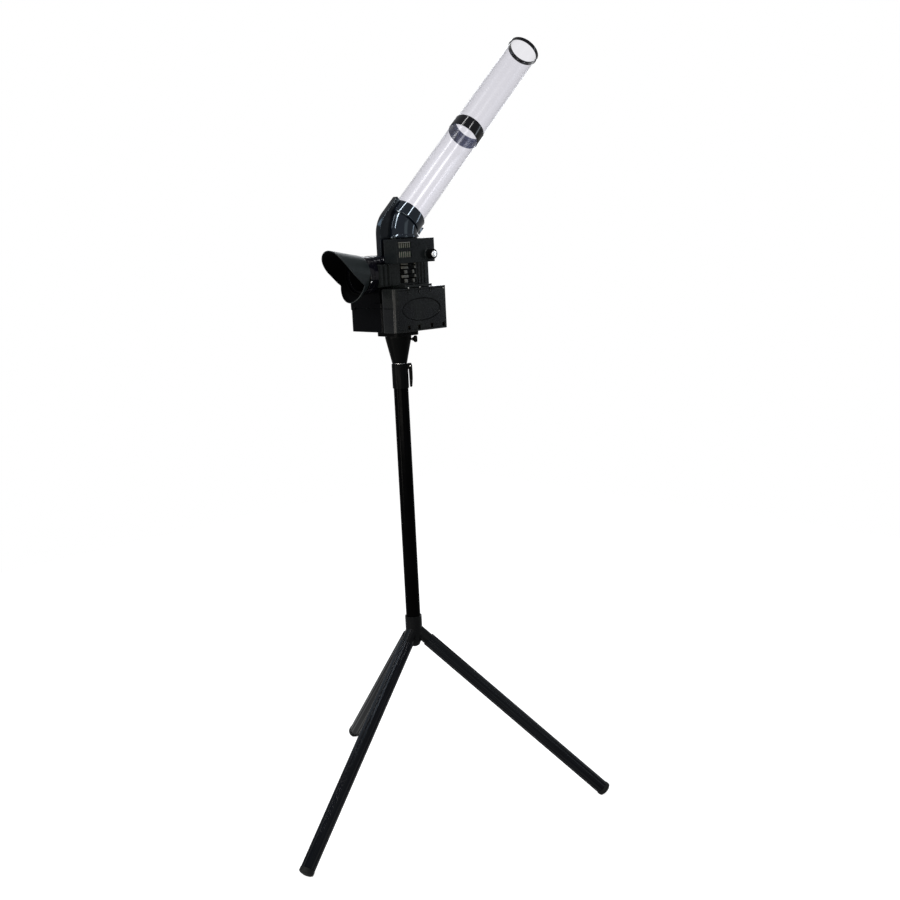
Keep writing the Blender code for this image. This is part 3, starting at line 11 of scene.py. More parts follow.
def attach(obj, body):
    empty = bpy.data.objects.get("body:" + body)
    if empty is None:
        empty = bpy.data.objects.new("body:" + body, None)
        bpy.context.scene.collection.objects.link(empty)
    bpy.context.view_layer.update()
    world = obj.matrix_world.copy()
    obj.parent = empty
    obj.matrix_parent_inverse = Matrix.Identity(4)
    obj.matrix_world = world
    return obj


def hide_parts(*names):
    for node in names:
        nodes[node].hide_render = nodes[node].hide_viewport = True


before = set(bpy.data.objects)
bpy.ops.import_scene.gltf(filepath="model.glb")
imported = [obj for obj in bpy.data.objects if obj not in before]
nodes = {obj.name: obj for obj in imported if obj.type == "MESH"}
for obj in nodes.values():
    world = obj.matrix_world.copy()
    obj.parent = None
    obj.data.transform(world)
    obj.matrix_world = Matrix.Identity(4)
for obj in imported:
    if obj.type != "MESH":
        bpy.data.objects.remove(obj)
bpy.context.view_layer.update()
print("stage: frame loaded,", len(nodes), "nodes")

pole = np.array([0.0503, -0.0185, 0.0])      # the stand's upright axis, from which pieces are placed
throatY = 0.0245                             # the elbow's upright axis, behind the pole's
barrelZ = 1.3100                             # height of the barrel's axis
cornerZ = 1.4200                             # height where the elbow's upright axis meets the magazine's
magazineLean = math.radians(46.7)
magazineAlong = (0.0, math.sin(magazineLean), math.cos(magazineLean))
toRight, toRear, toTop, toFront = (1.0, 0.0, 0.0), (0.0, 1.0, 0.0), (0.0, 0.0, 1.0), (0.0, -1.0, 0.0)


# Camera, at the photograph's viewpoint
cameraSetup = {
    "place": (2.2841, -1.9603, 1.4101),
    "right": (0.68885, 0.723386, -0.046891),
    "up": (-0.095303, 0.154498, 0.983386),
    "back": (0.718612, -0.672936, 0.175367),
    "lens": 50.0, "sensor": 36.0, "reach": 30.0,
}


def makeCamera(setup):
    data = bpy.data.cameras.new("camera")
    data.lens = setup["lens"]
    data.sensor_width = setup["sensor"]
    data.clip_end = setup["reach"]
    camera = bpy.data.objects.new("camera", data)
    turn = np.array([setup["right"], setup["up"], setup["back"]]).T
    matrix = np.eye(4)
    matrix[:3, :3] = turn
    matrix[:3, 3] = setup["place"]
    camera.matrix_world = Matrix(matrix.tolist())
    bpy.context.scene.collection.objects.link(camera)
    bpy.context.scene.camera = camera


makeCamera(cameraSetup)


# Shape helpers

tiny = 1e-9          # keeps a side without a length from dividing by zero
nearSkin = 0.0005    # a point this near the outer radius counts as part of the outer surface


def frameAlong(axis, side=toTop):
    # Three unit vectors: one across near to side, one across both, and the axis itself.
    axis = np.asarray(axis, float)
    axis = axis / np.linalg.norm(axis)
    first = np.asarray(side, float)
    first = first - axis * (first @ axis)
    first = first / np.linalg.norm(first)
    return first, np.cross(axis, first), axis


def gridFaces(rows, columns, wrapRows, wrapColumns):
    # Quads between neighbouring rows and columns of a grid, joined round where it wraps.
    i = np.arange(rows if wrapRows else rows - 1)
    j = np.arange(columns if wrapColumns else columns - 1)
    i, j = (a.ravel() for a in np.meshgrid(i, j, indexing="ij"))
    down, across = (i + 1) % rows, (j + 1) % columns
    return np.stack([i * columns + j, i * columns + across, down * columns + across, down * columns + j], 1)


def buildPiece(name, points, faces, sharpAngle=32.0):
    # A mesh from a grid's points and faces, with its seams and poles closed.
    mesh = bpy.data.meshes.new(name)
    mesh.from_pydata(points.reshape(-1, 3).tolist(), [], faces.tolist())
    obj = bpy.data.objects.new(name, mesh)
    bpy.context.scene.collection.objects.link(obj)
    closeSeams(mesh)
    mesh.shade_smooth()
    mesh.set_sharp_from_angle(angle=math.radians(sharpAngle))
    return obj


def closeSeams(mesh, within=0.000002):
    # Points that coincide become one, and edges and faces without a size go.
    shape = bmesh.new()
    shape.from_mesh(mesh)
    bmesh.ops.remove_doubles(shape, verts=shape.verts, dist=within)
    bmesh.ops.dissolve_degenerate(shape, edges=shape.edges, dist=within)
    bmesh.ops.recalc_face_normals(shape, faces=shape.faces)
    shape.to_mesh(mesh)
    shape.free()


def softProfile(profile, radius, steps=4, closed=True, share=0.45, least=1e-7):
    # Each corner of a polyline becomes a curve: a point runs from one side of the corner to the other
    # by (1-t)^2 * before + 2t(1-t) * corner + t^2 * after. A curve takes up at most its share of a side.
    profile = np.asarray(profile, float)
    before, after = np.roll(profile, 1, 0), np.roll(profile, -1, 0)
    lengthBefore = np.linalg.norm(before - profile, axis=1)
    lengthAfter = np.linalg.norm(after - profile, axis=1)
    reach = np.minimum(radius, share * np.minimum(lengthBefore, lengthAfter))
    if not closed:
        reach[[0, -1]] = 0.0
    start = profile + (before - profile) * (reach / np.maximum(lengthBefore, tiny))[:, None]
    end = profile + (after - profile) * (reach / np.maximum(lengthAfter, tiny))[:, None]
    t = np.linspace(0.0, 1.0, steps + 1)[None, :, None]
    curve = (1 - t) ** 2 * start[:, None] + 2 * t * (1 - t) * profile[:, None] + t ** 2 * end[:, None]
    curve = curve.reshape(-1, 2)
    keep = np.ones(len(curve), bool)
    keep[1:] = np.linalg.norm(np.diff(curve, axis=0), axis=1) > least
    return curve[keep]


def lathe(name, profile, origin, axis, segments=96, soft=0.0006, closed=True, side=toTop, shape=None):
    # A profile of (radius, height) points turned about an axis. A point is origin + radius * (cos a * across
    # + sin a * other) + height * axis. shape may change the radius by angle and height.
    points = softProfile(profile, soft, closed=closed) if soft else np.asarray(profile, float)
    angle = np.linspace(0.0, math.tau, segments, endpoint=False)
    radius = np.repeat(points[:, :1], segments, 1)
    height = np.repeat(points[:, 1:], segments, 1)
    if shape is not None:
        radius = shape(radius, height, angle[None, :])
    across, other, along = frameAlong(axis, side)
    grid = (np.asarray(origin, float) + radius[..., None] * (np.cos(angle)[None, :, None] * across
            + np.sin(angle)[None, :, None] * other) + height[..., None] * along)
    return buildPiece(name, grid, gridFaces(len(points), segments, closed, True))


def slab(name, outline, low, high, origin, across, up, out, soft=0.0008, rows=4):
    # A flat outline given a thickness, its rim rounded: the outline draws in by 1 - cos and rises by sin
    # of an angle that runs over a quarter turn at each face.
    outline = np.asarray(outline, float)
    before, after = np.roll(outline, 1, 0), np.roll(outline, -1, 0)
    edge = after - before
    normal = np.stack([edge[:, 1], -edge[:, 0]], 1)
    normal /= np.maximum(np.linalg.norm(normal, axis=1), tiny)[:, None]
    area = 0.5 * np.sum(outline[:, 0] * after[:, 1] - after[:, 0] * outline[:, 1])
    normal *= -np.sign(area)
    turn = np.linspace(0.0, math.pi / 2, rows + 1)
    inset = soft * (1 - np.cos(turn))
    lift = soft * np.sin(turn)
    levels = np.concatenate([low + soft - lift[::-1], high - soft + lift])
    insets = np.concatenate([inset[::-1], inset])
    flat = outline[None] + normal[None] * insets[:, None, None]
    flat = np.concatenate([np.broadcast_to(flat[0].mean(0), flat[:1].shape), flat,
                           np.broadcast_to(flat[-1].mean(0), flat[:1].shape)])
    levels = np.concatenate([levels[:1], levels, levels[-1:]])
    across, up, out = (np.asarray(v, float) for v in (across, up, out))
    grid = (np.asarray(origin, float) + flat[..., :1] * across + flat[..., 1:] * up
            + levels[:, None, None] * out)
    return buildPiece(name, grid, gridFaces(len(grid), len(outline), False, True))


def softenNode(name, width, angle=38.0):
    # A carried-over solid keeps its mesh, and modifiers round its edges and even out its shading.
    obj = nodes[name]
    obj.data.shade_smooth()
    weld = obj.modifiers.new("closeSeams", "WELD")
    weld.merge_threshold = 0.000005
    bevel = obj.modifiers.new("softEdges", "BEVEL")
    bevel.width = width
    bevel.segments = 2
    bevel.limit_method = "ANGLE"
    bevel.angle_limit = math.radians(angle)
    bevel.use_clamp_overlap = False
    even = obj.modifiers.new("evenShading", "WEIGHTED_NORMAL")
    even.keep_sharp = True


def place(obj, material, body, slot, *replaced):
    obj.data.materials.clear()
    obj.data.materials.append(material)
    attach(obj, body)
    if replaced:
        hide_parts(*replaced)


def paintInside(obj, material, origin, axis, radius):
    # Faces whose middle is nearer to the axis than the radius take a second material. On the coupling this is
    # a lighter copy of its finish, painted light on the bore.
    mesh = obj.data
    middle = np.empty(len(mesh.polygons) * 3)
    mesh.polygons.foreach_get("center", middle)
    away = middle.reshape(-1, 3) - origin
    away = away - (away @ np.asarray(axis))[:, None] * axis
    mesh.materials.append(material)
    mesh.polygons.foreach_set("material_index", (np.linalg.norm(away, axis=1) < radius).astype(np.int32))


# Materials

def combine(tree, operation, first, second):
    # A maths node with two inputs, each of them a socket or a number
    node = tree.nodes.new("ShaderNodeMath")
    node.operation = operation
    for socket, value in zip(node.inputs, (first, second)):
        if isinstance(value, float):
            socket.default_value = value
        else:
            tree.links.new(value, socket)
    return node.outputs[0]


class Finish:
    # A node material with short ways to add the usual steps.
    rampEnds = (0.35, 0.65)      # where a ramp's first and last colours stand

    def __init__(self, name):
        self.material = bpy.data.materials.new(name)
        self.material.use_nodes = True
        self.tree = self.material.node_tree
        self.shader = self.tree.nodes["Principled BSDF"]
        self.coordinates = self.tree.nodes.new("ShaderNodeTexCoord").outputs["Object"]

    def link(self, source, target):
        self.tree.links.new(source, target)

    def noise(self, scale, detail=3.0, stretch=(1.0, 1.0, 1.0), turn=(0.0, 0.0, 0.0)):
        mapping = self.tree.nodes.new("ShaderNodeMapping")
        mapping.inputs["Scale"].default_value = stretch
        mapping.inputs["Rotation"].default_value = turn
        self.link(self.coordinates, mapping.inputs["Vector"])
        noise = self.tree.nodes.new("ShaderNodeTexNoise")
        noise.inputs["Scale"].default_value = scale
        noise.inputs["Detail"].default_value = detail
        self.link(mapping.outputs["Vector"], noise.inputs["Vector"])
        return noise.outputs["Fac"]

    def ramp(self, source, low, high):
        ramp = self.tree.nodes.new("ShaderNodeValToRGB")
        first, last = ramp.color_ramp.elements
        first.position, last.position = self.rampEnds
        first.color = (*low, 1.0) if np.ndim(low) else (low, low, low, 1.0)
        last.color = (*high, 1.0) if np.ndim(high) else (high, high, high, 1.0)
        self.link(source, ramp.inputs["Fac"])
        return ramp.outputs["Color"]

    def tone(self, colour, dark, light, sheen, roughness):
        # Base colour and roughness, each mottled by a noise
        self.link(self.ramp(colour, dark, light), self.shader.inputs["Base Color"])
        self.link(self.ramp(sheen, *roughness), self.shader.inputs["Roughness"])

    def bump(self, source, strength, distance):
        bump = self.tree.nodes.new("ShaderNodeBump")
        bump.inputs["Strength"].default_value = strength
        bump.inputs["Distance"].default_value = distance
        self.link(source, bump.inputs["Height"])
        self.link(bump.outputs["Normal"], self.shader.inputs["Normal"])

    def set(self, **values):
        for name, value in values.items():
            self.shader.inputs[name.replace("_", " ")].default_value = value


def mouldedPlastic(name, dark, light, roughness, grain, specular=0.5, grainScale=1400.0):
    # Moulded plastic: faint cloudy tint, uneven sheen and a fine pebble grain.
    finish = Finish(name)
    finish.tone(finish.noise(16.0, 4.0), dark, light, finish.noise(120.0, 5.0), roughness)
    finish.set(Specular_IOR_Level=specular)
    finish.bump(finish.noise(grainScale, 2.0), grain, 0.0002)
    return finish.material


def glossPlastic(name, dark, light, roughness, specular=0.5, tint=(1.0, 1.0, 1.0)):
    # Polished moulding: handling marks in the gloss and a slow wave in the surface. A tint other than white
    # colours the reflections, a painted reflection colour.
    finish = Finish(name)
    finish.tone(finish.noise(22.0, 3.0), dark, light, finish.noise(60.0, 6.0), roughness)
    finish.set(Specular_IOR_Level=specular, Specular_Tint=(*tint, 1.0))
    finish.bump(finish.noise(45.0, 2.0), 0.05, 0.0006)
    return finish.material


def paintedSteel(name, dark, light, roughness, specular, peel=0.08):
    # Gloss paint on tube: orange peel, and dust dulling the gloss in long patches.
    finish = Finish(name)
    finish.tone(finish.noise(14.0, 4.0), dark, light, finish.noise(30.0, 6.0), roughness)
    finish.set(Specular_IOR_Level=specular)
    finish.bump(finish.noise(420.0, 2.0), peel, 0.0002)
    return finish.material


def plainMetal(name, dark, light, roughness, stretch=(1.0, 1.0, 1.0)):
    # Bare metal with a fine mottle, drawn out into lines where it is stretched.
    finish = Finish(name)
    line = finish.noise(160.0, 5.0, stretch)
    finish.tone(line, dark, light, line, roughness)
    finish.set(Metallic=1.0)
    finish.bump(line, 0.05, 0.0001)
    return finish.material


# tintBlend sets how the tint deepens towards the edges, and skinBlend and skinPower how the gloss rises
# to edgeGloss there
tubeLook = {
    "bands": 30.0, "bandStretch": (1.0, 0.08, 0.08), "tintBlend": 0.30,
    "skinBlend": 0.5, "skinPower": 5.0, "edgeGloss": 0.70, "roughness": 0.24,
}


def clearTube(name, tint, deeper, edgeTint, skin):
    # Thin clear plastic: light passes straight through with a faint tint that deepens in slow bands and
    # towards the edges, where the wall is seen at a slant, and a clear skin reflects the lamps.
    finish = Finish(name)
    tree = finish.tree
    clear = tree.nodes.new("ShaderNodeBsdfTransparent")
    band = finish.noise(tubeLook["bands"], 3.0, tubeLook["bandStretch"], (-magazineLean, 0.0, 0.0))
    facing = tree.nodes.new("ShaderNodeLayerWeight")
    facing.inputs["Blend"].default_value = tubeLook["tintBlend"]
    slant = tree.nodes.new("ShaderNodeMixRGB")
    finish.link(facing.outputs["Facing"], slant.inputs["Fac"])
    finish.link(finish.ramp(band, tint, deeper), slant.inputs["Color1"])
    slant.inputs["Color2"].default_value = (*edgeTint, 1.0)
    finish.link(slant.outputs["Color"], clear.inputs["Color"])
    gloss = tree.nodes.new("ShaderNodeBsdfGlossy")
    gloss.inputs["Color"].default_value = (1.0, 1.0, 1.0, 1.0)
    gloss.inputs["Roughness"].default_value = tubeLook["roughness"]
    edge = tree.nodes.new("ShaderNodeLayerWeight")
    edge.inputs["Blend"].default_value = tubeLook["skinBlend"]
    steep = combine(tree, "POWER", edge.outputs["Facing"], tubeLook["skinPower"])
    share = tree.nodes.new("ShaderNodeMapRange")
    share.inputs["To Min"].default_value = skin
    share.inputs["To Max"].default_value = tubeLook["edgeGloss"]
    finish.link(steep, share.inputs["Value"])
    mix = tree.nodes.new("ShaderNodeMixShader")
    finish.link(share.outputs["Result"], mix.inputs["Fac"])
    finish.link(clear.outputs["BSDF"], mix.inputs[1])
    finish.link(gloss.outputs["BSDF"], mix.inputs[2])
    finish.link(mix.outputs["Shader"], tree.nodes["Material Output"].inputs["Surface"])
    tree.nodes.remove(finish.shader)
    return finish.material


housingBlack = mouldedPlastic("housingBlack", (0.0034, 0.0040, 0.0046), (0.0060, 0.0074, 0.0070),
                              (0.24, 0.36), 0.012, 0.100)
controlBlack = mouldedPlastic("controlBlack", (0.0028, 0.0034, 0.0044), (0.0050, 0.0062, 0.0066),
                              (0.24, 0.36), 0.012, 0.076)
caseBlack = mouldedPlastic("caseBlack", (0.0030, 0.0034, 0.0044), (0.0054, 0.0064, 0.0062),
                           (0.20, 0.30), 0.010, 0.115)
baseBlack = mouldedPlastic("baseBlack", (0.0010, 0.0011, 0.0015), (0.0018, 0.0020, 0.0025),
                           (0.20, 0.28), 0.01, 0.020)
fittingBlack = mouldedPlastic("fittingBlack", (0.0010, 0.0011, 0.0012), (0.0018, 0.0020, 0.0021),
                              (0.28, 0.40), 0.02, 0.023)
hubBlack = mouldedPlastic("hubBlack", (0.0014, 0.0016, 0.0020), (0.0026, 0.0030, 0.0036),
                          (0.26, 0.38), 0.03, 0.075)
hoodBlack = mouldedPlastic("hoodBlack", (0.0066, 0.0090, 0.0100), (0.0094, 0.0124, 0.0134),
                           (0.34, 0.44), 0.03, 0.12)
# Near-black and matt, far darker than the hood: painted shade on the hood's inside, its neck and the line
# round the cover's oval recess, and the knob grip's own matt black
mattBlackAndShade = mouldedPlastic("mattBlackAndShade", (0.0006, 0.0006, 0.0007), (0.0010, 0.0010, 0.0011),
                            (0.62, 0.78), 0.04, 0.020)
# Light tan grey for the vent bars, the vent lip and the louvres' lands: a painted highlight where the dark
# mouldings catch the light
paintedRibHighlight = mouldedPlastic("paintedRibHighlight", (0.0560, 0.0550, 0.0470), (0.0820, 0.0800, 0.0680),
                          (0.30, 0.42), 0.03, 0.34)
# Light grey for small domes on the battery cover: painted highlights, standing for the glints on the catches
# and on the cover's corner
paintedGlintGrey = mouldedPlastic("paintedGlintGrey", (0.220, 0.220, 0.215), (0.360, 0.360, 0.350),
                           (0.30, 0.42), 0.03, 0.30)
footRubber = mouldedPlastic("footRubber", (0.0040, 0.0046, 0.0048), (0.0080, 0.0086, 0.0088),
                            (0.45, 0.62), 0.12, 0.12, 900.0)
# The elbow's and the spine's reflections are tinted blue: a painted bluish reflection
elbowGloss = glossPlastic("elbowGloss", (0.0010, 0.0018, 0.0040), (0.0020, 0.0032, 0.0066), (0.07, 0.12),
                          0.50, (0.74, 0.87, 1.0))
spineGloss = glossPlastic("spineGloss", (0.0012, 0.0016, 0.0026), (0.0024, 0.0030, 0.0046), (0.09, 0.16),
                          0.25, (0.78, 0.90, 1.0))
ringGloss = glossPlastic("ringGloss", (0.0014, 0.0013, 0.0025), (0.0022, 0.0021, 0.0038), (0.08, 0.15), 0.22)
# Bluish lavender, far lighter than the ring's black: painted light on the bore of the coupling
paintedLightRingBore = glossPlastic("paintedLightRingBore", (0.062, 0.074, 0.138), (0.100, 0.116, 0.195), (0.30, 0.45), 0.20)
barrelBlack = glossPlastic("barrelBlack", (0.0014, 0.0015, 0.0018), (0.0024, 0.0026, 0.0032), (0.24, 0.34),
                           0.06)
polePaint = paintedSteel("polePaint", (0.0006, 0.0006, 0.0007), (0.0011, 0.0011, 0.0013), (0.16, 0.26), 0.010)
legPaint = paintedSteel("legPaint", (0.0012, 0.0016, 0.0028), (0.0022, 0.0028, 0.0044), (0.07, 0.12),
                        0.095, 0.01)
mastSteel = plainMetal("mastSteel", (0.30, 0.30, 0.31), (0.52, 0.52, 0.53), (0.16, 0.30), (1.0, 1.0, 0.05))
pinSteel = plainMetal("pinSteel", (0.38, 0.38, 0.39), (0.60, 0.60, 0.61), (0.22, 0.38))
capSilver = plainMetal("capSilver", (0.74, 0.74, 0.74), (0.88, 0.88, 0.88), (0.16, 0.30), (0.1, 1.0, 1.0))
gearBrass = plainMetal("gearBrass", (0.52, 0.40, 0.12), (0.78, 0.64, 0.26), (0.22, 0.36))
nylonWhite = mouldedPlastic("nylonWhite", (0.66, 0.66, 0.62), (0.78, 0.78, 0.74), (0.36, 0.50), 0.10)
tyreRubber = mouldedPlastic("tyreRubber", (0.010, 0.010, 0.010), (0.022, 0.022, 0.022), (0.66, 0.85), 0.30,
                            0.2, 600.0)
cellWrap = mouldedPlastic("cellWrap", (0.030, 0.018, 0.008), (0.055, 0.032, 0.012), (0.22, 0.34), 0.03, 0.2)
boardGreen = mouldedPlastic("boardGreen", (0.010, 0.075, 0.030), (0.018, 0.110, 0.048), (0.35, 0.5), 0.08)
tubeLower = clearTube("tubeLower", (0.930, 0.927, 0.944), (0.914, 0.911, 0.930),
                      (0.880, 0.877, 0.895), 0.018)
tubeUpper = clearTube("tubeUpper", (0.922, 0.919, 0.935), (0.906, 0.903, 0.920),
                      (0.874, 0.871, 0.888), 0.006)
print("stage: materials made")


# Magazine: two clear tubes, their coupling and the ring at the top
magazineSetup = {
    "corner": pole + (0.0, throatY, cornerZ),
    "lower": (0.0143, 0.3185, 0.0389),        # start, end, radius
    "upper": (0.3205, 0.6120, 0.0385),
    "wall": 0.0020, "gap": 0.0003, "stop": 0.0016,
    "coupling": (0.2995, 0.3325, 0.0402),
    "couplingEdge": (0.0005, 0.0012),          # how far its edges draw in, across and along
    "insideWithin": 0.0006, "ringClear": 0.0002,
    "endRing": (0.6045, 0.6136, 0.0405),
    "segments": 144,
}


def makeMagazine(setup):
    corner, gap, wall = setup["corner"], setup["gap"], setup["wall"]
    for name, material in (("lower", tubeLower), ("upper", tubeUpper)):
        start, end, radius = setup[name]
        tube = lathe(f"clear_tube_{name}", [(radius, end), (radius, start), (radius - wall, start),
                                            (radius - wall, end)], corner, magazineAlong, setup["segments"],
                     soft=0.0004)
        place(tube, material, f"magazine_{name}", "clear_tube", f"{name}_tube")
    low, high, radius = setup["coupling"]
    inner, lowerOuter = setup["upper"][2] + gap, setup["lower"][2] + gap
    stopLow, stopHigh = setup["lower"][1] + gap, setup["upper"][0] - gap
    stop = setup["lower"][2] - setup["stop"]
    across, along = setup["couplingEdge"]
    ring = lathe("coupling_sleeve", [(inner, high), (radius - across, high), (radius, high - along),
                                     (radius, low + along), (radius - across, low), (lowerOuter, low),
                                     (lowerOuter, stopLow), (stop, stopLow), (stop, stopHigh),
                                     (inner, stopHigh)], corner, magazineAlong, setup["segments"],
                 soft=0.0003)
    place(ring, ringGloss, "magazine_lower", "gloss_black_elbow", "coupling_ring")
    # The bore takes a lighter copy of the ring's gloss as painted light
    paintInside(ring, paintedLightRingBore, corner, magazineAlong, setup["lower"][2] + setup["insideWithin"])
    low, high, radius = setup["endRing"]
    bore = setup["upper"][2] - wall + setup["ringClear"]
    lip = setup["upper"][1] + gap
    ring = lathe("top_ring", [(bore, high), (radius, high), (radius, low), (inner, low), (inner, lip),
                              (bore, lip)], corner, magazineAlong, setup["segments"], soft=0.0004)
    place(ring, ringGloss, "magazine_upper", "gloss_black_elbow", "end_ring")


makeMagazine(magazineSetup)
print("stage: magazine made")


# Elbow: a glossy moulding with a raised spine along its front
elbowSetup = {
    "bend": 0.0500, "bottom": 1.3910, "radius": 0.0403, "bore": 0.0365,
    "flange": (0.0430, 0.0040, 0.0082),                     # radius, shoulder, top
    "sleeve": (0.0065, 0.0140, 0.0380, 0.0445, 0.0392),   # step, floor, end, radius, bore
    "flangeLip": (0.0003, 0.0001), "sleeveSlope": (0.0006, 0.0015),
    "spineHalf": 0.0090, "spineFront": -0.0452, "spineReach": 0.0550, "spineBottom": 1.3500,
    "spineCorner": 0.070, "spineRear": -0.0198, "spineInner": 0.0302, "spineStep": (0.0100, 1.4080),
    "spineShort": 0.0008, "spineSteps": 24,
    # the web's corners: distance along the magazine's axis and offset from it
    "web": ((0.0080, -0.0420), (0.0120, -0.0567), (0.0460, -0.0562), (0.0430, -0.0500),
            (0.0370, -0.0430)),
    "webHalf": 0.0030, "reach": 0.020, "segments": 120,
}


def magazinePoint(distance, offset):
    # (Y, Z) from the pole's axis of a point by its distance along the magazine's axis and offset forward.
    sine, cosine = magazineAlong[1:]
    return throatY + distance * sine - offset * cosine, cornerZ + distance * cosine + offset * sine


def elbowPath(low, far, steps=40):
    # Upright to the bend, round it, and on along the magazine's axis.
    bend = elbowSetup["bend"]
    centreY, centreZ = throatY + bend, cornerZ - bend * math.tan(magazineLean / 2)
    angle = np.linspace(0.0, magazineLean, steps)
    curve = np.stack([0 * angle, centreY - bend * np.cos(angle), centreZ + bend * np.sin(angle)], 1)
    up = np.array([[0.0, throatY, low], [0.0, throatY, (low + centreZ) / 2]])
    out = np.array([[0.0, *magazinePoint(far * 0.9, 0.0)], [0.0, *magazinePoint(far, 0.0)]])
    return np.concatenate([up, curve, out]) + pole


def spineOutline(setup):
    # Up the front, round a corner that touches both straight edges, out to the tip and back down inside
    front, reach, bottom = setup["spineFront"], setup["spineReach"], setup["spineBottom"]
    radius, inner = setup["spineCorner"], setup["spineInner"]
    centreY = front + radius
    startY, startZ = magazinePoint(0.0, reach - radius)
    centreZ = startZ + (centreY - startY) * math.cos(magazineLean) / math.sin(magazineLean)
    turn = np.radians(np.linspace(180.0, 180.0 - math.degrees(magazineLean), setup["spineSteps"]))
    corner = np.stack([centreY + radius * np.cos(turn), centreZ + radius * np.sin(turn)], 1)
    tip = setup["sleeve"][2] - setup["spineShort"]
    stepOut, stepZ = setup["spineStep"]
    return np.concatenate([[(front, bottom)], corner, [magazinePoint(tip, reach), magazinePoint(tip, inner)],
                           [magazinePoint(stepOut, inner), (throatY - inner, stepZ),
                            (throatY - inner, setup["bottom"]), (setup["spineRear"], setup["bottom"]),
                            (setup["spineRear"], bottom)]])


def makeElbow(setup):
    angle = np.linspace(0.0, math.tau, setup["segments"], endpoint=False)
    circle = np.stack([np.cos(angle), np.sin(angle)], 1)
    step, floor, end, sleeveRadius, sleeveBore = setup["sleeve"]
    # outer and inner skins of the bend, joined at both ends into one closed wall
    outer = elbowPath(setup["bottom"], setup["reach"])
    inner = outer[::-1]
    tangent = np.gradient(outer, axis=0)
    tangent /= np.linalg.norm(tangent, axis=1)[:, None]
    normal = np.stack([0 * tangent[:, 0], -tangent[:, 2], tangent[:, 1]], 1)
    across = np.array(toRight)
    shell = [path[:, None] + radius * (circle[None, :, :1] * across + circle[None, :, 1:] * up[:, None])
             for path, radius, up in ((outer, setup["radius"], normal), (inner, setup["bore"], normal[::-1]))]
    bend = buildPiece("elbow_bend", np.concatenate(shell),
                      gridFaces(len(outer) * 2, len(circle), True, True), sharpAngle=50.0)
    place(bend, elbowGloss, "head", "gloss_black_elbow", "elbow_left", "elbow_right")
    # the sleeve's step slopes down to just proud of the bend
    proud, half = setup["sleeveSlope"]
    sleeve = lathe("elbow_sleeve", [(sleeveBore, end), (sleeveRadius, end), (sleeveRadius, step + half),
                                    (setup["radius"] + proud, step - half), (setup["bore"], step - half),
                                    (setup["bore"], floor), (sleeveBore, floor)], magazineSetup["corner"],
                   magazineAlong, magazineSetup["segments"], soft=0.0012)
    place(sleeve, elbowGloss, "head", "gloss_black_elbow")
    flangeRadius, shoulder, top = setup["flange"]
    tuck, lip = setup["flangeLip"]
    flange = lathe("elbow_flange", [(setup["radius"] - tuck, top), (setup["radius"] + lip, top),
                                    (flangeRadius, shoulder), (flangeRadius, 0.0), (setup["bore"], 0.0),
                                    (setup["bore"], top)], pole + (0.0, throatY, setup["bottom"]),
                   toTop, setup["segments"], soft=0.0004, side=toRight)
    place(flange, elbowGloss, "head", "gloss_black_elbow")
    spine = slab("elbow_spine", spineOutline(setup), -setup["spineHalf"], setup["spineHalf"], pole,
                 toRear, toTop, toRight, soft=0.0026, rows=7)
    place(spine, spineGloss, "head", "gloss_black_elbow")
    web = slab("elbow_web", [magazinePoint(*spot) for spot in setup["web"]], -setup["webHalf"],
               setup["webHalf"], pole, toRear, toTop, toRight)
    place(web, elbowGloss, "head", "gloss_black_elbow")


makeElbow(elbowSetup)
print("stage: elbow made")


# Hood: a flared shade whose mouth is cut to a V
hoodSetup = {
    "rear": -0.0983, "rearRadius": 0.0437, "mouthRadius": 0.0461, "lipRadius": 0.0455, "length": 0.1080,
    "spreadOver": 0.060,                        # the step over which the radii grow
    "rise": math.tan(math.radians(10.5)), "fall": math.tan(math.radians(22.0)),
    "vertex": (-0.1287, 1.2890), "upperSlope": 1.279, "upperCurve": 6.04, "lowerSlope": 0.277,
    "start": 0.0122, "shoulder": 0.0200, "wall": 0.0022, "rim": 0.0007,
    "columns": 160, "rows": 44, "turned": 0.011, "farthest": 0.16, "halvings": 30,
    "neckBore": 0.0398, "neckLength": 0.0060, "neckProud": 0.0008, "neckBack": 0.0002,
}


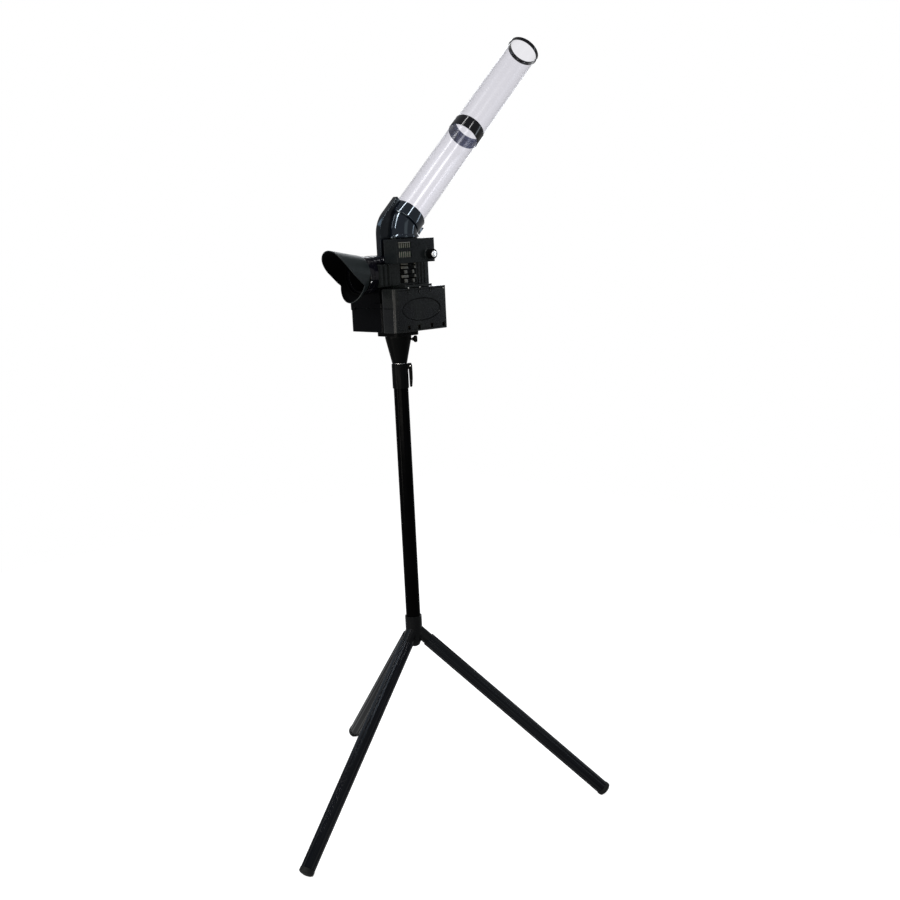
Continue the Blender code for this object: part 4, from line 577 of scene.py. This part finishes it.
def makeHood(setup):
    # The hood's section is two arcs, a crown above and a chin below, whose radii grow and whose centres
    # move apart with the step forward. Each line along the hood ends where it meets the V of the mouth.
    angle = np.linspace(0.0, math.tau, setup["columns"], endpoint=False)[None, :] + setup["turned"]

    def section(step):
        spread = np.clip(step / setup["spreadOver"], 0.0, 1.0)
        spread = spread * (2 - spread)
        crown = setup["rearRadius"] + (setup["mouthRadius"] - setup["rearRadius"]) * spread
        chin = setup["rearRadius"] + (setup["lipRadius"] - setup["rearRadius"]) * spread
        top = barrelZ + setup["rearRadius"] + step * setup["rise"]
        # the chin starts at the ring's radius and drops to its slope over a short shoulder
        drop = np.clip((step - setup["start"]) / setup["shoulder"], 0.0, 1.0)
        drop = drop * drop * (3 - 2 * drop)
        bottom = barrelZ - setup["rearRadius"] - step * setup["fall"] * drop
        upper = np.sin(angle) > 0
        radius = np.where(upper, crown, chin)
        middle = np.where(upper, top - crown, bottom + chin)
        return np.stack([radius * np.cos(angle), setup["rear"] - step + 0 * angle,
                         middle + radius * np.sin(angle)], -1)

    def past(step):
        point = section(step)
        above = point[..., 2] - setup["vertex"][1]
        # the V's upper side bends: slope times the height, less curve times the height's square
        reach = np.where(above > 0, (setup["upperSlope"] - setup["upperCurve"] * above) * above,
                         -setup["lowerSlope"] * above)
        return point[..., 1] < setup["vertex"][0] - reach

    # halve the span that holds the mouth's edge, for all lines at once
    low, high = np.zeros_like(angle), np.full_like(angle, setup["farthest"])
    for _ in range(setup["halvings"]):
        middle = (low + high) / 2
        beyond = past(middle)
        low, high = np.where(beyond, low, middle), np.where(beyond, middle, high)
    ends = np.minimum(low, setup["length"])
    share = np.linspace(0.0, 1.0, setup["rows"])[:, None]
    grid = section(setup["start"] + share * (ends - setup["start"])) + pole
    faces = gridFaces(setup["rows"], setup["columns"], False, True)
    hood = buildPiece("hood_shell", grid, faces, sharpAngle=60.0)
    wall = hood.modifiers.new("wall", "SOLIDIFY")
    wall.thickness = setup["wall"]
    wall.offset = -1.0
    wall.use_even_offset = True
    wall.material_offset = 1
    rim = hood.modifiers.new("rim", "BEVEL")
    rim.width = setup["rim"]
    rim.segments = 2
    rim.limit_method = "ANGLE"
    rim.angle_limit = math.radians(50.0)
    place(hood, hoodBlack, "shade", "satin_black_housing", "hood")
    # The inner skin and rim take the matt black as painted shade inside the hood
    hood.data.materials.append(mattBlackAndShade)
    radius, bore, length = setup["rearRadius"] + setup["neckProud"], setup["neckBore"], setup["neckLength"]
    behind = setup["rear"] - setup["start"] + setup["neckBack"]
    # The neck in the hood's throat is matt black, painted shade
    neck = lathe("hood_neck", [(radius, length), (radius, 0.0), (bore, 0.0), (bore, length)],
                 pole + (0.0, behind, barrelZ), toFront, segments=120, soft=0.0008)
    place(neck, mattBlackAndShade, "shade", "satin_black_housing")


makeHood(hoodSetup)


# Locking ring: a plain collar at the rear and a grip with notches in front
ringSetup = {"front": -0.1102, "rear": -0.0845, "radius": 0.0437, "bore": 0.0398, "notches": 8,
             "notchDepth": 0.0010, "notchHalf": 0.045, "notchSoft": 0.012, "notchEnds": (0.0030, 0.0025),
             "endSoft": 0.0008, "collar": 0.0125, "collarStep": 0.0007, "collarEdge": 0.0017,
             "groove": 0.0022, "edge": 0.0010, "segments": 360}


def makeLockingRing(setup):
    length = setup["rear"] - setup["front"]
    notch = math.tau / setup["notches"]
    radius, bore, collar, edge = setup["radius"], setup["bore"], setup["collar"], setup["edge"]
    notchRear, notchFront = setup["notchEnds"]

    def grip(radii, height, angle):
        # The outer radius drops by the notch's depth within half a notch's width of each notch's middle.
        away = np.abs((angle / notch - 0.5) % 1.0 - 0.5) * notch
        dip = np.clip((setup["notchHalf"] - away) / setup["notchSoft"] + 0.5, 0.0, 1.0)
        within = np.minimum(height - collar - notchRear, length - notchFront - height)
        inside = np.clip(within / setup["endSoft"], 0.0, 1.0)
        return radii - np.where(radii > radius - nearSkin, dip * inside * setup["notchDepth"], 0.0)

    rear = [(radius - setup["collarStep"], h) for h in np.linspace(edge, collar - edge, 5)]
    front = [(radius, h) for h in np.linspace(collar + edge, length - edge, 22)]
    profile = ([(bore, 0.0), (radius - setup["collarEdge"], 0.0)] + rear
               + [(radius - setup["groove"], collar)] + front + [(radius - edge, length), (bore, length)])
    ring = lathe("locking_ring", profile, pole + (0.0, setup["rear"], barrelZ), toFront, setup["segments"],
                 soft=0.0, shape=grip)
    place(ring, ringGloss, "lock_ring", "gloss_black_elbow", "ring_collar")


makeLockingRing(ringSetup)


# The barrel's top behind the ring: a saddle over the barrel with three low ribs, down to the cheeks
saddleSetup = {"rear": -0.0215, "front": -0.0842, "radius": 0.0430, "bore": 0.0397, "half": 52.0,
               "ribs": (-0.0800, -0.0670, -0.0540), "ribWidth": 0.0052, "ribHeight": 0.0007,
               "ribSoft": 0.0008, "sideSoft": 0.02, "sink": 0.0004, "rows": 90, "segments": 180}


def makeSaddle(setup):
    bore, length = setup["bore"], setup["rear"] - setup["front"]

    def arch(radii, height, angle):
        # Full height within half the arch's width of the top, and down to the bore past it
        away = np.abs((angle + math.pi) % math.tau - math.pi)
        full = np.clip((math.radians(setup["half"]) - away) / setup["sideSoft"] + 0.5, 0.0, 1.0)
        y = setup["rear"] - height
        rib = sum(np.clip((setup["ribWidth"] / 2 - np.abs(y - at)) / setup["ribSoft"] + 0.5, 0.0, 1.0)
                  for at in setup["ribs"])
        raised = bore + full * (radii - bore + rib * setup["ribHeight"])
        return np.where(radii > setup["radius"] - nearSkin, raised, radii)

    outer = [(setup["radius"], h) for h in np.linspace(0.0, length, setup["rows"])]
    inner = bore - setup["sink"]
    saddle = lathe("barrel_saddle", [(inner, 0.0)] + outer + [(inner, length)],
                   pole + (0.0, setup["rear"], barrelZ), toFront, setup["segments"], soft=0.0, shape=arch)
    place(saddle, ringGloss, "head", "gloss_black_elbow")


makeSaddle(saddleSetup)
print("stage: hood and ring made")


# Small parts of the head: vent bars, louvre blades, the ring's screw
headDetails = {
    "ventFace": 0.0800, "ventStart": -0.0522, "ventPitch": 0.0062, "ventCount": 6,
    "ventRows": ((1.3738, 0.0056), (1.3536, 0.0070)), "ventProud": 0.0011, "ventWidth": 0.0026,
    "ventSink": 0.0004, "ventSquareness": 8,
    "ventLip": (-0.0555, -0.0190, 1.3806, 0.0010), "ventLipProud": (0.0011, 0.0006),
    "louvreFace": 0.0440, "louvreY": (-0.0216, 0.0266),
    # each blade: height of its middle, half its height, and which pair of lands it carries
    "louvres": ((1.2925, 0.0046, 0), (1.3028, 0.0034, 1), (1.3131, 0.0046, 0), (1.3234, 0.0034, 1),
                (1.3312, 0.0021, 1)),
    "louvreLands": (((-0.0102, -0.0009), (0.0146, 0.0208)), ((-0.0195, 0.0022), (0.0208, 0.0262))),
    "louvreSink": 0.0006, "bladeProud": 0.0012, "landProud": 0.0019, "landShare": 0.86,
    "screwY": -0.1068, "screwAngle": -19.0, "screwRadius": 0.0025, "screwSeat": 0.0434,
    "screwEdge": 0.0006, "screwDome": 0.0009,
}


def quarterRound(middle, base, across, rise, steps=8):
    # (radius, height) points on a quarter of an ellipse, from its widest to its highest
    turn = np.linspace(0.0, math.pi / 2, steps)
    return [(middle + across * math.cos(t), base + rise * math.sin(t)) for t in turn]


def makeVentBars(setup):
    # One bar stands beside each slot: a half-round rib with round ends. A lip closes the upper row. Bars and
    # lip take a light finish, a painted highlight on the ribs
    turn = np.linspace(0.0, math.pi, 9)
    section = np.stack([np.cos(turn) * setup["ventWidth"] / 2, np.sin(turn) * setup["ventProud"]], 1)
    number = 0
    for z, half in setup["ventRows"]:
        along = half * np.sin(np.linspace(-math.pi / 2, math.pi / 2, 15))
        swell = np.sqrt(np.clip(1 - (np.abs(along) / half) ** setup["ventSquareness"], 0.0, 1.0))
        for column in range(setup["ventCount"]):
            middle = setup["ventStart"] + column * setup["ventPitch"]
            front = np.stack([setup["ventFace"] + section[None, :, 1] * swell[:, None],
                              middle + section[None, :, 0] * swell[:, None],
                              z + along[:, None] + 0 * section[None, :, 0]], -1)
            back = front[:, ::-1].copy()
            back[..., 0] = setup["ventFace"] - setup["ventSink"]
            number += 1
            bar = buildPiece(f"vent_bar_{number}", np.concatenate([front, back], 1) + pole,
                             gridFaces(len(along), 2 * len(section), False, True), sharpAngle=50.0)
            place(bar, paintedRibHighlight, "head", "satin_black_housing")
    low, high, z, half = setup["ventLip"]
    face, sunk = setup["ventFace"], setup["ventFace"] - setup["ventSink"]
    below, above = setup["ventLipProud"]
    lip = slab("vent_lip", [(sunk, z - half), (face + below, z - half), (face + above, z + half),
                            (sunk, z + half)], low, high, pole, toRight, toTop, toRear, soft=0.0003)
    place(lip, paintedRibHighlight, "head", "satin_black_housing")


def makeLouvres(setup):
    # A blade overhangs each slot like small eaves, proud at its lower edge, and carries two raised lands. The
    # blades take a darker black as painted shade, and the lands a light finish as painted highlight
    face = setup["louvreFace"]
    sunk = face - setup["louvreSink"]

    def blade(name, side, z, half, low, high, proud, material):
        outline = [(side * sunk, z - half), (side * (face + proud), z - half),
                   (side * (face + proud), z - half * 0.2), (side * (face + proud * 0.5), z + half),
                   (side * sunk, z + half)]
        place(slab(name, outline, low, high, pole, toRight, toTop, toRear, soft=0.0003), material, "head",
              "satin_black_housing")

    for number, (z, half, pair) in enumerate(setup["louvres"], 1):
        for side, word in ((1, "right"), (-1, "left")):
            blade(f"louvre_{word}_{number}", side, z, half, *setup["louvreY"], setup["bladeProud"],
                  fittingBlack)
            for end, (low, high) in zip(("front", "rear"), setup["louvreLands"][pair]):
                blade(f"louvre_land_{word}_{number}_{end}", side, z, half * setup["landShare"], low, high,
                      setup["landProud"], paintedRibHighlight)


def makeRingScrew(setup):
    # A domed head on the grip, seen from the control side
    turn = math.radians(setup["screwAngle"])
    out = np.array([math.cos(turn), 0.0, math.sin(turn)])
    radius = setup["screwRadius"]
    dome = quarterRound(0.0, setup["screwEdge"], radius, setup["screwDome"])
    seat = pole + np.array([0.0, setup["screwY"], barrelZ]) + out * setup["screwSeat"]
    screw = lathe("ring_screw", [(radius, 0.0)] + dome + [(0.0, 0.0)], seat, out, segments=32, soft=0.0,
                  side=toRear)
    place(screw, capSilver, "lock_ring", "silver_cap")


# Battery cover: a fine bead round the oval recess, painted dark as the shade along its edge, and light domes
# painted as highlights on the catches along the top edge
coverSetup = {"face": 0.0848, "oval": (0.0030, 1.2275, 0.0586, 0.0256), "bead": (0.0018, 0.0007),
              # middles of the painted highlight spots: one on each latch's top, and one on the cover's corner
              "glintSpots": ((0.0863, -0.0360, 1.2779), (0.0863, -0.0008, 1.2779), (0.0863, 0.0342, 1.2779),
                         (0.0846, 0.0740, 1.2712)),
              "glintSize": (0.0017, 0.0006), "sink": 0.0004, "beadSink": 0.0003, "segments": (200, 14)}


def makeCoverDetails(setup):
    # The bead's centre line is centre + half axes * (cos a, sin a). Its section is half an ellipse above
    # the face and a flatter half below it
    y, z, halfY, halfZ = setup["oval"]
    width, proud = setup["bead"]
    angle, turn = (np.linspace(0.0, math.tau, count, endpoint=False) for count in setup["segments"])
    angle, turn = angle[:, None], turn[None, :]
    grow = np.cos(turn) * width / 2
    rise = np.where(np.sin(turn) > 0, proud, setup["beadSink"]) * np.sin(turn)
    grid = np.stack([setup["face"] + rise + 0 * angle, y + (halfY + grow) * np.cos(angle),
                     z + (halfZ + grow) * np.sin(angle)], -1)
    bead = buildPiece("oval_bead", grid + pole, gridFaces(*setup["segments"], True, True))
    # The bead is matt black: a painted shade line round the recess
    place(bead, mattBlackAndShade, "battery_door", "satin_black_housing")
    # A painted highlight spot is a low light grey dome: the radius falls as a cosine while the height grows
    # as a sine
    radius, height = setup["glintSize"]
    profile = [(0.0, -setup["sink"]), (radius, -setup["sink"])] + quarterRound(0.0, 0.0, radius, height, 6)
    for number, spot in enumerate(setup["glintSpots"], 1):
        tip = lathe(f"painted_glint_{number}", profile, pole + np.array(spot), toRight, segments=24, soft=0.0,
                    closed=False)
        place(tip, paintedGlintGrey, "battery_door", "satin_black_housing")


# Speed knob: a fluted knob with a silver cap let into its face
knobSetup = {"centre": (0.0800, 0.0394, 1.3515), "radius": 0.0112, "low": 0.0026, "face": 0.0160,
             "capRadius": 0.0074, "capEdge": 0.0008, "capDome": 0.0010, "recess": 0.0010,
             "capDepth": 0.0009, "capShoulder": 0.0002, "rimRows": 14,
             # how far the back and face edges draw in, and the cap's gap at the face and the floor
             "backEdge": 0.0008, "faceEdge": (0.0010, 0.0012), "seatGap": (0.0004, 0.0002),
             "flutes": 18, "fluteDepth": 0.0005, "fluteEnds": (0.0040, 0.0025), "fluteSoft": 0.0012}


def makeKnob(setup):
    fluteLow, fluteHigh = setup["fluteEnds"]

    def flute(radii, height, angle):
        # The rim's radius drops by the depth times the square of a cosine, once for each flute
        within = np.minimum(height - fluteLow, setup["face"] - fluteHigh - height)
        inside = np.clip(within / setup["fluteSoft"], 0.0, 1.0)
        wave = np.cos(angle * setup["flutes"] / 2) ** 2
        return radii - np.where(radii > setup["radius"] - nearSkin, wave * inside * setup["fluteDepth"], 0.0)

    centre = pole + np.array(setup["centre"])
    radius, low, face, cap = setup["radius"], setup["low"], setup["face"], setup["capRadius"]
    floor = face - setup["recess"]
    back, (across, along), (seatTop, seatFloor) = setup["backEdge"], setup["faceEdge"], setup["seatGap"]
    rim = [(radius, h) for h in np.linspace(low + back, face - along, setup["rimRows"])]
    knob = lathe("knob_grip", [(0.0, low), (radius - back, low)] + rim
                 + [(radius - across, face), (cap + seatTop, face), (cap + seatFloor, floor), (0.0, floor)],
                 centre, toRight, segments=216, soft=0.0, closed=False, shape=flute)
    # The grip takes the matt black that is painted shade inside the hood; here it is the knob's own matt
    # black
    place(knob, mattBlackAndShade, "knob", "satin_black_housing", "speed_knob")
    # the cap's rim is rounded by its edge, and its middle stands proud of the face by its dome
    under, shoulder = face - setup["capDepth"], face - setup["capShoulder"]
    dome = quarterRound(cap - setup["capEdge"], shoulder, setup["capEdge"], setup["capDome"])
    disc = lathe("knob_face", [(0.0, under), (cap, under)] + dome
                 + [(0.0, face + setup["capDome"])], centre, toRight, segments=72, soft=0.0, closed=False)
    place(disc, capSilver, "knob", "silver_cap", "knob_cap")


makeVentBars(headDetails)
makeLouvres(headDetails)
makeRingScrew(headDetails)
makeCoverDetails(coverSetup)
makeKnob(knobSetup)
print("stage: small parts made")


# Stand: fluted legs and the outer pole
standSetup = {
    "slope": math.radians(43.7),
    "azimuths": {"front": -77.2, "right": 42.8, "left": 162.8},
    "hubZ": 0.4459,
    "legStart": 0.047, "legEnd": 0.6220, "legRadius": 0.0169, "flutes": 12, "fluteDepth": 0.0013,
    "legBore": 0.0148, "segments": 288,
    "poleRadius": 0.0175, "poleBore": 0.0156, "poleTop": 1.0882, "hubFloor": 0.4283,
}


def makeStand(setup):
    centre = pole + (0.0, 0.0, setup["hubZ"])
    cosine, sine = math.cos(setup["slope"]), math.sin(setup["slope"])
    for name, azimuth in setup["azimuths"].items():
        turn = math.radians(azimuth)
        along = np.array([math.cos(turn) * cosine, math.sin(turn) * cosine, -sine])

        def flute(radius, height, angle):
            # Rounded ridges: the radius drops by the depth times the square of a sine.
            wave = np.cos(angle * setup["flutes"] / 2) ** 2
            outer = radius > setup["legRadius"] - nearSkin
            return radius - np.where(outer, setup["fluteDepth"] * (1 - wave), 0.0)

        start, end = setup["legStart"], setup["legEnd"]
        leg = lathe(f"leg_{name}_fluted", [(setup["legRadius"], end), (setup["legRadius"], start),
                                           (setup["legBore"], start), (setup["legBore"], end)],
                    centre, along, setup["segments"], soft=0.0004, shape=flute)
        place(leg, legPaint, f"leg_{name}", "black_painted_tube", f"leg_{name}_tube")
    radius, bore, top, floor = setup["poleRadius"], setup["poleBore"], setup["poleTop"], setup["hubFloor"]
    tube = lathe("pole_tube", [(radius, top), (radius, floor), (bore, floor), (bore, top)], pole, toTop,
                 segments=96, soft=0.0006, side=toRight)
    place(tube, polePaint, "stand", "black_painted_tube", "outer_pole")


makeStand(standSetup)
print("stage: stand made")


# Carried-over solids: each keeps its shape and takes a finish and the width of its soft edges
nodeFinishes = (
    (footRubber, 0.0010, "leg_front_foot", "leg_right_foot", "leg_left_foot"),
    (housingBlack, 0.0004, "housing_left", "housing_right"),
    (controlBlack, 0.0009, "control_case"),
    (baseBlack, 0.0010, "base_case", "base_lid"),
    (caseBlack, 0.0008, "battery_case"),
    (caseBlack, 0.0006, "battery_cover"),
    (barrelBlack, 0.0004, "barrel_left", "barrel_right"),
    (hubBlack, 0.0006, "tripod_hub"),
    (fittingBlack, 0.0010, "base_plate"),
    (fittingBlack, 0.0008, "clamp_lever"),
    (fittingBlack, 0.0006, "head_socket"),
    (fittingBlack, 0.0005, "collar_clamp", "wing_screw"),
    (fittingBlack, 0.0003, "roller_hub_left", "roller_hub_right"),
    (tyreRubber, 0.0004, "roller_tyre_left", "roller_tyre_right"),
    (mastSteel, 0.0003, "inner_pole"),
    (pinSteel, 0.0004, "feed_motor", "launch_motor_left", "launch_motor_right"),
    (pinSteel, 0.0003, "feed_bracket"),
    (pinSteel, 0.0002, "lever_pin", "feed_axle", "speed_sensor", "battery_contact_front",
     "battery_contact_rear"),
    (nylonWhite, 0.0003, "feed_wheel"),
    (nylonWhite, 0.0, "feed_gear"),
    (gearBrass, 0.0, "feed_pinion"),
    (cellWrap, 0.0004, "battery_cell_1", "battery_cell_2", "battery_cell_3", "battery_cell_4"),
    (boardGreen, 0.0002, "power_board", "control_board"),
)
for material, width, *names in nodeFinishes:
    for name in names:
        nodes[name].data.materials.clear()
        nodes[name].data.materials.append(material)
        if width:
            softenNode(name, width)
print("stage: solids finished")


# Floor, light and background
stageSetup = {
    "floor": 6.0, "below": 0.0006,
    "floorGlow": 0.885, "floorAlbedo": 0.40,
    "fill": 0.30, "mirrored": 0.26,
}


def makeFloor(setup):
    half = setup["floor"] / 2
    mesh = bpy.data.meshes.new("floor")
    mesh.from_pydata([(-half, -half, 0.0), (half, -half, 0.0), (half, half, 0.0), (-half, half, 0.0)], [],
                     [(0, 1, 2, 3)])
    floor = bpy.data.objects.new("floor", mesh)
    bpy.context.scene.collection.objects.link(floor)
    floor.location = (0.0, 0.0, -setup["below"])
    material = bpy.data.materials.new("paleFloor")
    material.use_nodes = True
    tree = material.node_tree
    tree.nodes.remove(tree.nodes["Principled BSDF"])
    diffuse = tree.nodes.new("ShaderNodeBsdfDiffuse")
    albedo = setup["floorAlbedo"]
    diffuse.inputs["Color"].default_value = (albedo, albedo, albedo, 1.0)
    glow = tree.nodes.new("ShaderNodeEmission")
    level = combine(tree, "MULTIPLY", seenDirectly(tree, setup["mirrored"]), setup["floorGlow"])
    add = tree.nodes.new("ShaderNodeAddShader")
    link = tree.links.new
    link(level, glow.inputs["Strength"])
    link(diffuse.outputs[0], add.inputs[0])
    link(glow.outputs[0], add.inputs[1])
    link(add.outputs[0], tree.nodes["Material Output"].inputs["Surface"])
    mesh.materials.append(material)


def seenDirectly(tree, mirrored):
    # 1 where a ray comes from the camera or a clear part, less where it comes from a reflection, else 0
    path = tree.nodes.new("ShaderNodeLightPath")
    direct = combine(tree, "MAXIMUM", path.outputs["Is Camera Ray"], path.outputs["Is Transmission Ray"])
    glossy = combine(tree, "MULTIPLY", path.outputs["Is Glossy Ray"], mirrored)
    return combine(tree, "MAXIMUM", direct, glossy)


def makeWorld(setup):
    world = bpy.data.worlds.new("studio")
    bpy.context.scene.world = world
    world.use_nodes = True
    tree = world.node_tree
    back = tree.nodes["Background"]
    back.inputs["Color"].default_value = (1.0, 1.0, 1.0, 1.0)
    level = tree.nodes.new("ShaderNodeMapRange")
    level.inputs["To Min"].default_value = setup["fill"]
    level.inputs["To Max"].default_value = 1.0
    tree.links.new(seenDirectly(tree, setup["mirrored"]), level.inputs["Value"])
    tree.links.new(level.outputs["Result"], back.inputs["Strength"])


# Each lamp: place, aim, long side's direction, width, length, watts and colour
lampSetup = {
    "topStrip": ((0.24, -0.72, 3.15), (0.10, -0.20, 0.9), (0.0, 1.0, 0.0), 0.07, 1.60, 20.0,
                 (1.0, 1.0, 1.0)),
    "sideStrip": ((1.75, 0.19, 2.85), (0.05, 0.0, 1.35), (-0.45, 0.80, 0.43), 0.07, 0.90, 14.0,
                  (1.0, 1.0, 1.0)),
    "frontCard": ((1.50, -2.50, 0.86), (0.12, -0.09, 1.23), (0.85, 0.50, 0.0), 0.34, 2.30, 34.0,
                  (1.0, 0.95, 0.86)),
    "coolCard": ((-1.3, -1.3, 2.7), (0.05, -0.05, 1.35), (0.7, -0.7, 0.0), 0.9, 1.1, 11.0,
                 (0.58, 0.78, 1.0)),
    "legStrip": ((0.34, -1.32, 2.35), (0.09, -0.20, 0.25), (0.19, -0.83, -0.46), 0.05, 1.40, 14.0,
                 (1.0, 1.0, 1.0)),
    "rearCard": ((2.0, 2.3, 1.7), (0.06, 0.0, 1.0), (0.0, 0.0, 1.0), 0.25, 1.6, 8.0,
                 (0.80, 0.90, 1.0)),
    "backCard": ((-1.6, 2.1, 2.0), (0.05, 0.05, 1.20), (0.0, 0.0, 1.0), 1.00, 1.60, 16.0,
                 (0.92, 0.96, 1.0)),
    "lowStrip": ((-0.45, -2.45, 0.82), (0.12, -0.09, 1.25), (0.0, 0.0, 1.0), 0.40, 1.10, 24.0,
                 (1.0, 0.95, 0.88)),
    "rightCard": ((2.6, -0.25, 1.50), (0.06, 0.0, 1.38), (0.0, 0.0, 1.0), 0.9, 1.9, 5.0,
                  (0.92, 1.0, 0.94)),
}


def makeLamps(setup):
    for name, (spot, aim, side, width, length, watts, colour) in setup.items():
        data = bpy.data.lights.new(name, "AREA")
        data.shape = "RECTANGLE"
        data.size, data.size_y = width, length
        data.energy = watts
        data.color = colour
        lamp = bpy.data.objects.new(name, data)
        back = np.array(spot) - np.array(aim)
        up, across, out = frameAlong(back, side)
        matrix = np.eye(4)
        matrix[:3, 0], matrix[:3, 1], matrix[:3, 2] = -across, up, out
        matrix[:3, 3] = spot
        lamp.matrix_world = Matrix(matrix.tolist())
        bpy.context.scene.collection.objects.link(lamp)


makeFloor(stageSetup)
makeWorld(stageSetup)
makeLamps(lampSetup)
bpy.context.scene.view_settings.view_transform = "Standard"
print("stage: studio made")
